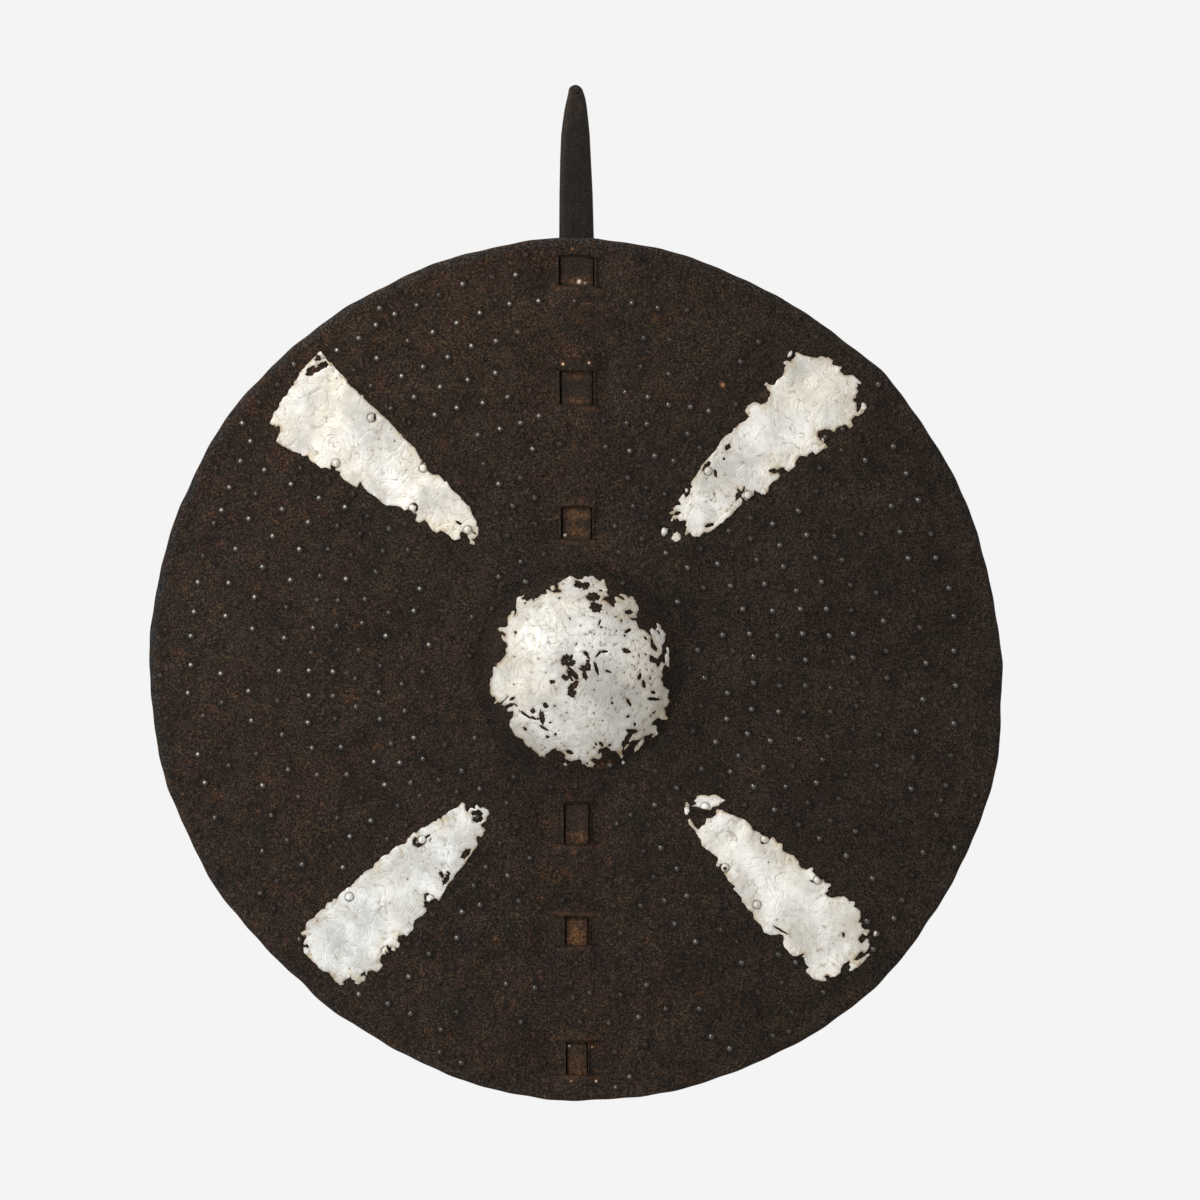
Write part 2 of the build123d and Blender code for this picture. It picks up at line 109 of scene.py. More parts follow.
# Raised studs: (degrees from +X towards +Z, radius, boldness 1 to 9).
STUDS = [
    (0.5, 79.6, 3), (12.2, 73.5, 2), (32.5, 73.4, 3), (62.1, 69.3, 5), (80, 77.2, 2),
    (120.1, 71.6, 8), (131.8, 70.8, 2), (144.3, 73.7, 5), (157.6, 73.9, 4), (172.5, 76, 4),
    (185.7, 71.5, 2), (208.8, 73.1, 2), (222.9, 80.7, 4), (269.5, 81, 3), (289.2, 70.8, 9),
    (326.4, 80.2, 3), (337.7, 79.9, 2), (9.4, 86.3, 8), (21.5, 86.3, 3), (34, 85.7, 9),
    (45.3, 85.1, 2), (57.6, 86.7, 4), (70.4, 88.2, 4), (90, 81.7, 2), (105.9, 84.9, 5),
    (117.4, 85.6, 6), (130, 85.5, 7), (153.2, 82.8, 5), (165.3, 85.9, 2), (187.5, 86.6, 3),
    (195.2, 86.1, 3), (203.7, 89.2, 2), (213.7, 86.3, 6), (239.5, 87.4, 5),
    (257.5, 84.4, 4), (281.7, 83.4, 2), (296.2, 91, 4), (308, 90.3, 5), (320, 91.9, 2),
    (332.3, 92.3, 4), (343.8, 90.9, 4), (356.4, 90.3, 7), (6.9, 110.6, 5), (13.5, 105.7, 9),
    (23.5, 105.9, 4), (32.8, 106.4, 5), (42.6, 106.1, 9), (52.7, 103.5, 8),
    (57.8, 114.8, 9), (63.6, 103, 5), (75.2, 104.8, 6), (106, 107, 5), (117.2, 106.1, 4),
    (138.2, 106.7, 3), (149.6, 107, 2), (159.6, 105.1, 1), (170.4, 105.7, 9),
    (180.7, 108.4, 6), (190.5, 103.8, 4), (199.5, 107.5, 3), (209.6, 106.9, 4),
    (221.3, 107.8, 7), (230.8, 108.1, 7), (242.2, 105.8, 5), (253, 106, 3), (284.6, 112, 5),
    (290.4, 108.9, 5), (300, 109.8, 8), (310.3, 108.9, 7), (321.6, 112.3, 6),
    (332.6, 110.2, 9), (341.9, 111.1, 9), (351.3, 107.5, 9), (4.2, 124.9, 9),
    (11.8, 124.4, 9), (20.2, 124.5, 9), (28.6, 123.5, 9), (36.9, 124.2, 9), (44.3, 122, 4),
    (65.4, 118.4, 4), (71.1, 122, 5), (78.5, 123.6, 4), (103.7, 124.6, 7),
    (111.3, 123.9, 6), (117, 124, 4), (128, 125.1, 6), (138.5, 123.2, 3), (143.8, 127.4, 4),
    (152.7, 124.4, 9), (160.1, 122, 9), (168.7, 122.1, 4), (176.1, 123.5, 4),
    (184.6, 123.6, 6), (193.4, 124.5, 7), (202.6, 124.3, 9), (210, 125.2, 7),
    (218.6, 124.2, 5), (225.5, 120.5, 4), (235.8, 125.2, 6), (244.3, 123.4, 3),
    (249, 117.7, 3), (249.5, 134.6, 2), (256.8, 117.1, 3), (265.8, 133.4, 2),
    (288.4, 122.4, 2), (294.9, 120.3, 4), (300.8, 127.9, 3), (308, 125.9, 9),
    (313.1, 132, 9), (321.1, 130.2, 4), (326.5, 130, 7), (332, 129.1, 7), (339.5, 128.5, 9),
    (347.4, 126.2, 9), (355.8, 124.9, 9), (3.1, 143.1, 5), (9.6, 143.5, 6),
    (16.8, 144.1, 9), (24.6, 145.5, 9), (31.4, 148.5, 7), (42.4, 145, 6), (63.4, 138.5, 5),
    (69, 137.3, 4), (75.1, 139.9, 6), (81.9, 139.4, 3), (88, 140.2, 3), (94.3, 140.5, 4),
    (99.7, 141.4, 3), (106.3, 140.8, 5), (112.8, 142, 9), (119.7, 145, 4),
    (138.8, 142.2, 3), (144.6, 145.9, 6), (150.6, 142.2, 3), (156.3, 138.4, 4),
    (163.1, 138.3, 6), (169.9, 136.6, 9), (178.8, 138.7, 5), (186.6, 140.3, 7),
    (194, 142.9, 8), (201.7, 140.9, 6), (207.7, 140.8, 9), (214.2, 141.4, 7),
    (218.7, 141.7, 5), (224.2, 139.4, 2), (242.9, 142.3, 3), (245.2, 152.8, 6),
    (251.5, 152.9, 8), (256, 136.4, 6), (257.7, 152, 3), (265.6, 146.2, 2),
    (271.1, 152.1, 2), (276.6, 135.4, 2), (278.5, 153, 2), (284.9, 153, 4),
    (290.3, 135.9, 4), (295.3, 138.6, 8), (302.4, 143.4, 2), (321.2, 151.7, 4),
    (326.5, 149.4, 9), (332.6, 148.3, 8), (339.9, 145.4, 9), (348.3, 145.2, 9),
    (355.5, 143.4, 6), (2.5, 161.4, 9), (9.1, 161.1, 9), (15.2, 163.4, 9), (19.8, 164.6, 7),
    (26.5, 162.8, 8), (31.6, 167.8, 9), (37, 153.3, 6), (41.1, 162.7, 5), (56.6, 167.7, 6),
    (65.1, 162.2, 7), (70, 160.4, 9), (76.4, 158.6, 9), (82.6, 158.3, 6), (88.8, 164.1, 2),
    (94.3, 159.6, 4), (101.3, 158.6, 9), (106.8, 158.1, 3), (114.3, 159.1, 5),
    (121.6, 167.8, 2), (135.4, 162.3, 6), (139.7, 158.8, 3), (143.1, 165.4, 7),
    (148.5, 160.2, 5), (154, 157.4, 6), (161.5, 157.4, 7), (167.7, 154.9, 7),
    (174.8, 154.1, 6), (175.3, 170.2, 3), (182.3, 156.4, 5), (189.5, 157.7, 7),
    (196.8, 158.1, 3), (204.4, 156.9, 9), (210.9, 157.6, 9), (217.2, 158.3, 5),
    (222.2, 162.5, 4), (227.6, 162, 6), (244.5, 168.5, 5), (249.8, 169.5, 4),
    (255.9, 167.7, 6), (260.9, 169.7, 4), (266.5, 162.2, 3), (278.9, 168.2, 3),
    (290.4, 155.5, 4), (296.7, 156.8, 7), (302.3, 165.8, 2), (324.7, 170.7, 9),
    (330.8, 168.6, 6), (336, 166.4, 5), (342.8, 164.3, 8), (349.5, 162.5, 6),
    (356, 161.6, 7), (1.8, 181, 4), (7.7, 179.7, 9), (13.7, 181.2, 9), (19.8, 183.3, 9),
    (22.5, 176.8, 3), (25.1, 185.8, 9), (30.4, 187.8, 9), (36.7, 172.1, 9),
    (41.1, 181.1, 3), (45.7, 172.3, 6), (61, 178.7, 6), (64.8, 183.6, 7), (69.8, 181.5, 2),
    (74.1, 180.1, 8), (78.6, 177.4, 6), (83.8, 177, 4), (92.6, 173.4, 1), (98.5, 180.8, 9),
    (102.8, 178.3, 9), (107.7, 178.1, 9), (112.8, 179.5, 8), (118.6, 183.7, 4),
    (123.6, 186.9, 2), (127.3, 178.8, 6), (143.6, 182.8, 4), (147.9, 180.3, 4),
    (153, 178.5, 4), (158.5, 174.8, 9), (163.7, 175.3, 6), (169.6, 171.8, 6),
    (171, 188.2, 8), (176.3, 187.6, 5), (180.2, 188.7, 9), (180.5, 171.8, 9),
    (186.1, 172.7, 7), (191.4, 173.8, 5), (198.1, 174.8, 8), (204.5, 178, 8),
    (210.7, 176.8, 4), (216.2, 179.8, 9), (221.7, 179, 5), (244.6, 188.6, 9),
    (247.6, 179, 8), (255.1, 186.5, 4), (260.7, 188.3, 1), (279.5, 187.7, 4),
    (285.2, 172.1, 6), (290.9, 174, 6), (296, 176.9, 9), (302.5, 183.6, 3), (306.8, 174, 6),
    (318, 178, 6), (330.1, 187.7, 5), (334.8, 186.8, 9), (339.9, 184.4, 6),
    (345.1, 182.9, 6), (350.6, 181.2, 6), (355.9, 179.3, 5), (2.5, 195.2, 9),
    (7.4, 196.6, 9), (12.3, 198.2, 5), (17.2, 202, 6), (22.5, 202.6, 6), (27.4, 204.7, 6),
    (30.4, 205.7, 2), (35.6, 192.2, 9), (40.2, 202.8, 3), (60, 195.9, 3), (63, 204.7, 9),
    (66.6, 201.8, 9), (70.9, 197.5, 8), (75.4, 198.6, 9), (80.2, 198.6, 7),
    (99.6, 199.2, 2), (104.2, 198.2, 8), (109.4, 199.3, 9), (114.6, 202.9, 9),
    (119.1, 205.5, 9), (141.8, 200.5, 3), (144.9, 199.6, 9), (149, 197, 5),
    (154.1, 194.9, 5), (159.9, 192.7, 6), (164.9, 189.6, 6), (185.5, 189.6, 9),
    (191.1, 193, 9), (196.4, 194.5, 8), (202, 197.4, 7), (206.9, 197.4, 3),
    (211.7, 198.5, 5), (216.3, 198.4, 9), (221.1, 197.1, 2), (237.3, 191.6, 6),
    (239.8, 200.3, 3), (245.9, 206.7, 9), (249.8, 206.2, 4), (257.3, 204.3, 3),
    (261.9, 204.1, 3), (270, 206.3, 4), (274.4, 204, 1), (282.5, 204.8, 4),
    (291.1, 191.7, 7), (296.8, 193.9, 3), (302.7, 195.7, 3), (325.1, 190.6, 6),
    (333.8, 205.6, 5), (338.7, 203.3, 5), (343.3, 201.3, 4), (347.8, 199.5, 4),
    (352.7, 198.7, 5), (357.4, 198, 4), (3.5, 218.6, 6), (9.1, 218.9, 9), (14.4, 218, 6),
    (19.7, 219.8, 2), (25.5, 222.3, 6), (30.6, 224.1, 3), (36.7, 210.8, 5),
    (39.7, 222.5, 5), (59.1, 218.2, 6), (67.6, 221.6, 4), (72.7, 218.2, 6), (78.1, 218, 5),
    (80.8, 212.5, 2), (83, 224.9, 3), (93.6, 224.3, 2), (99.1, 217.5, 3), (105.3, 216.7, 9),
    (110.6, 218.1, 9), (115.8, 221.3, 9), (120.8, 223.8, 9), (124.1, 209.9, 3),
    (139.4, 223.9, 6), (142.8, 220.1, 3), (146.3, 218.3, 9), (151.2, 216.1, 9),
    (156.5, 213.4, 9), (162.6, 211.7, 9), (167.8, 209.6, 5), (173.8, 207.5, 9),
    (176.9, 210.1, 3), (180.2, 209.8, 9), (185.9, 212.3, 5), (192.4, 212.7, 7),
    (199.1, 215.3, 8), (204.5, 215.8, 5), (209.6, 216.9, 3), (215.6, 213.9, 4),
    (220.2, 215.8, 9), (253.4, 209.4, 2), (254, 222.6, 3), (268.9, 220.4, 4),
    (278.1, 215.4, 3), (287.9, 207.9, 2), (288.9, 224, 3), (293.6, 209, 9), (299, 209.2, 5),
    (300.5, 222.2, 4), (303.4, 216, 3), (307.5, 208.4, 6), (318.9, 225, 6),
    (325.2, 208.4, 7), (329.3, 208, 5), (342.3, 222.4, 6), (347.9, 218.2, 6),
    (352.9, 220.7, 4), (358.5, 219, 7), (7.2, 229.9, 2), (20.7, 234.8, 1), (35.5, 225.6, 4),
    (39.7, 242.5, 5), (43.1, 240.1, 6), (57.5, 236.1, 2), (63, 226.1, 9), (71.3, 230.4, 1),
    (74.3, 241.4, 5), (78.6, 238.4, 6), (83.1, 239, 3), (89, 237.3, 2), (95.7, 241.3, 3),
    (99.9, 241.5, 7), (103.8, 238.5, 9), (107, 228.3, 2), (108, 239.8, 9),
    (112.4, 238.3, 9), (116.9, 239.3, 9), (120.8, 240.9, 9), (125.4, 226.2, 6),
    (129.2, 229.4, 6), (143.9, 241.4, 4), (147, 240.2, 9), (151.4, 236.6, 9),
    (156.3, 234.5, 9), (161.9, 233.3, 9), (167.3, 233.1, 9), (172.8, 230.6, 9),
    (176.5, 228.5, 2), (180.7, 232.3, 3), (183.7, 232.1, 9), (188.9, 232.3, 8),
    (194.7, 233.6, 5), (197.6, 240, 3), (200.2, 236.3, 9), (205.5, 238.7, 6),
    (210.5, 237, 6), (215.3, 237.3, 8), (224.9, 226.5, 6), (235.7, 239.6, 6),
    (238.3, 226.6, 3), (242.5, 225.5, 6), (247.2, 226.9, 3), (250.5, 236.7, 1),
    (254.5, 237.4, 2), (257.3, 226.6, 7), (262.5, 225.8, 7), (266.7, 242.6, 3),
    (269.3, 230.9, 4), (272.3, 227.6, 6), (277.7, 230.9, 5), (282.5, 227.2, 7),
    (292.7, 225.9, 3), (292.8, 238.2, 3), (295.7, 233.6, 3), (299.4, 236.7, 9),
    (304.2, 229, 1), (321.9, 229.1, 3), (325.4, 230.8, 9), (329.9, 227.1, 7),
    (332.3, 242.5, 2), (335.7, 226.2, 4), (336.8, 241.3, 2), (359.1, 232.3, 4),
    (1.1, 246.4, 9), (7, 244, 7), (13.2, 244.4, 5), (18.6, 246.7, 9), (23.1, 247.9, 9),
    (27.5, 250, 9), (31.6, 249.7, 4), (36, 251.5, 9), (39.3, 257.6, 2), (42.2, 252.7, 6),
    (58, 254.9, 2), (62, 245.7, 7), (66.3, 243.7, 2), (70.2, 243.2, 2), (90.3, 259.8, 5),
    (92.4, 247.3, 2), (105.2, 260.4, 9), (109.1, 258.5, 9), (113.1, 258.6, 9),
    (117.2, 260.4, 6), (122.7, 260.9, 9), (126, 247, 5), (151.3, 258.3, 5),
    (155.3, 254.8, 9), (160.5, 255.4, 9), (166, 253.2, 9), (169, 244.5, 3),
    (171.3, 250.7, 9), (176.3, 251.8, 2), (180.6, 251.3, 9), (185.3, 251.7, 5),
    (189.4, 255.4, 3), (192.3, 253.7, 2), (195.4, 254.8, 5), (198.6, 255.6, 3),
    (203, 253.9, 2), (206.3, 256, 1), (210, 256.1, 6), (215.2, 258.6, 4), (217.2, 251.8, 3),
    (241.3, 246.4, 9), (241.4, 257.4, 3), (245.5, 244.5, 4), (250.7, 255.2, 5),
    (256.2, 250.1, 3), (261, 250.9, 6), (270.5, 247.8, 5), (275.2, 249.5, 6),
    (280.1, 248.2, 9), (284.7, 246.7, 6), (289.9, 253.9, 7), (294.7, 256.4, 3),
    (299.3, 260.7, 4), (301.4, 244.9, 3), (305.3, 245.9, 7), (306.8, 257.5, 8),
    (321.8, 255.2, 2), (324.8, 255.1, 9), (328.6, 248.4, 2), (331.6, 258.6, 3),
    (334.9, 251.9, 4), (340.4, 250.3, 9), (345.4, 245.2, 6), (349.7, 243.3, 9),
    (354.9, 260.1, 2), (355.1, 245.2, 9), (2.9, 266.4, 9), (8.1, 268.8, 9),
    (12.4, 268.9, 9), (17.3, 265.4, 9), (21, 267.6, 7), (26.4, 268.9, 9), (30.8, 270.6, 9),
    (35.2, 273.3, 9), (38.3, 277.2, 3), (56, 268.3, 9), (61, 264.1, 6), (65.2, 265.2, 4),
    (69.8, 265.5, 2), (73, 265, 5), (76.5, 271.5, 2), (77.4, 261.1, 6), (81.5, 261.3, 8),
    (85, 265.7, 2), (95.9, 261.1, 9), (100.4, 261.9, 9), (126.7, 263.6, 4),
    (147.4, 261.5, 9), (149.5, 269.5, 3), (152.3, 276.8, 9), (155.8, 274.8, 9),
    (158, 276.4, 6), (160.9, 277.9, 2), (163.1, 275.9, 5), (167, 274.6, 9),
    (171.4, 273.4, 9), (175, 273.5, 9), (179.3, 272.5, 9), (183.4, 275, 9), (187, 266, 5),
    (192.6, 274.1, 9), (196.9, 274.4, 9), (202.2, 276, 7), (206.4, 276.7, 3),
    (208.7, 268.1, 2), (211.2, 274.8, 3), (215.2, 273.3, 6), (218.2, 272.2, 3),
    (224.2, 272.8, 6), (236.1, 275.5, 9), (237.6, 262.7, 3), (240.5, 270.2, 8),
    (244.2, 268.9, 7), (249.3, 270.9, 6), (255.3, 278, 4), (261.6, 274, 2),
    (264.6, 262.3, 3), (265.3, 276.9, 3), (275.7, 270.3, 4), (280.4, 268.4, 3),
    (284.9, 270.3, 3), (290.1, 275.1, 8), (295.1, 276.8, 4), (297.6, 271.8, 2),
    (300.2, 278.6, 3), (303.2, 263.4, 5), (319.1, 271, 8), (321.5, 271.6, 2),
    (328.5, 277.5, 3), (332.2, 276.2, 8), (338, 274.1, 7), (340.3, 273, 5), (342.6, 273, 7),
    (347.1, 270.9, 5), (351.9, 268.8, 9), (355.4, 274.7, 3), (357.6, 267.8, 9),
    (0.9, 281.6, 1), (4.4, 290.9, 1), (12.8, 288.8, 2), (16.5, 290, 2), (20.4, 290.7, 1),
    (24.9, 292.6, 3), (28.6, 289.5, 2), (32.8, 289.8, 3), (35.9, 290.4, 4),
    (40.1, 290.8, 4), (43.4, 292.8, 8), (46.9, 292.9, 1), (50.5, 290.1, 3),
    (54.3, 289.5, 3), (57.8, 292, 3), (61.9, 286.6, 3), (65.3, 287.6, 3), (70.2, 280.6, 2),
    (74.7, 289, 2), (78.8, 279.9, 3), (81.4, 292.6, 1), (85.1, 296.1, 1), (95.4, 282.2, 2),
    (97, 294.4, 5), (98.8, 281.4, 9), (102.1, 282.9, 4), (106.5, 283.3, 9),
    (110.2, 281.3, 5), (112.1, 288.7, 3), (113.7, 280.6, 8), (114.3, 292.1, 4),
    (117.1, 281.5, 9), (118.6, 290.1, 9), (120.2, 281.1, 9), (121.7, 291.1, 4),
    (123.3, 279.6, 9), (124.9, 291.8, 2), (126.9, 281.6, 9), (129, 286.3, 9),
    (132.8, 293.4, 7), (136.3, 291.3, 4), (139.9, 292.8, 4), (143.6, 293, 9), (145, 281, 9),
    (147.5, 293.7, 2), (148.2, 279.2, 9), (150.8, 291.8, 4), (155.1, 292.6, 3),
    (158.8, 294.4, 3), (163, 292.2, 2), (166.3, 294.2, 1), (174.5, 292.1, 3),
    (177.9, 291.6, 2), (180.8, 294.3, 5), (186.2, 279, 2), (189, 291.5, 3),
    (195.2, 292.5, 2), (199.2, 288.5, 3), (203.7, 291.3, 2), (208.9, 289.6, 3),
    (216.1, 289.2, 4), (221.5, 282.8, 3), (224.6, 287.7, 2), (240.3, 288.5, 2),
    (245.4, 281.9, 3), (250.3, 286.4, 5), (253.6, 288.5, 7), (257.8, 292.5, 2),
    (261.4, 291.9, 3), (266, 295, 1), (275.3, 294.8, 7), (277.4, 288.9, 8),
    (280.6, 290.8, 2), (286.3, 294.1, 1), (292, 287.7, 9), (298.2, 292.3, 6),
    (300.4, 295.3, 6), (302.1, 285, 4), (304.7, 287.9, 2), (307.4, 286.3, 6),
    (316.7, 287.4, 9), (318.7, 281.9, 9), (321.9, 284.3, 9), (323.2, 295.3, 4),
    (324.7, 281.3, 6), (331.1, 295.9, 1), (334.8, 294.8, 9), (338.5, 294.3, 2),
    (342.5, 294.6, 5), (346.4, 292.7, 2), (350, 291.7, 2), (354.1, 293.7, 3),
    (357.9, 291.6, 3),
]

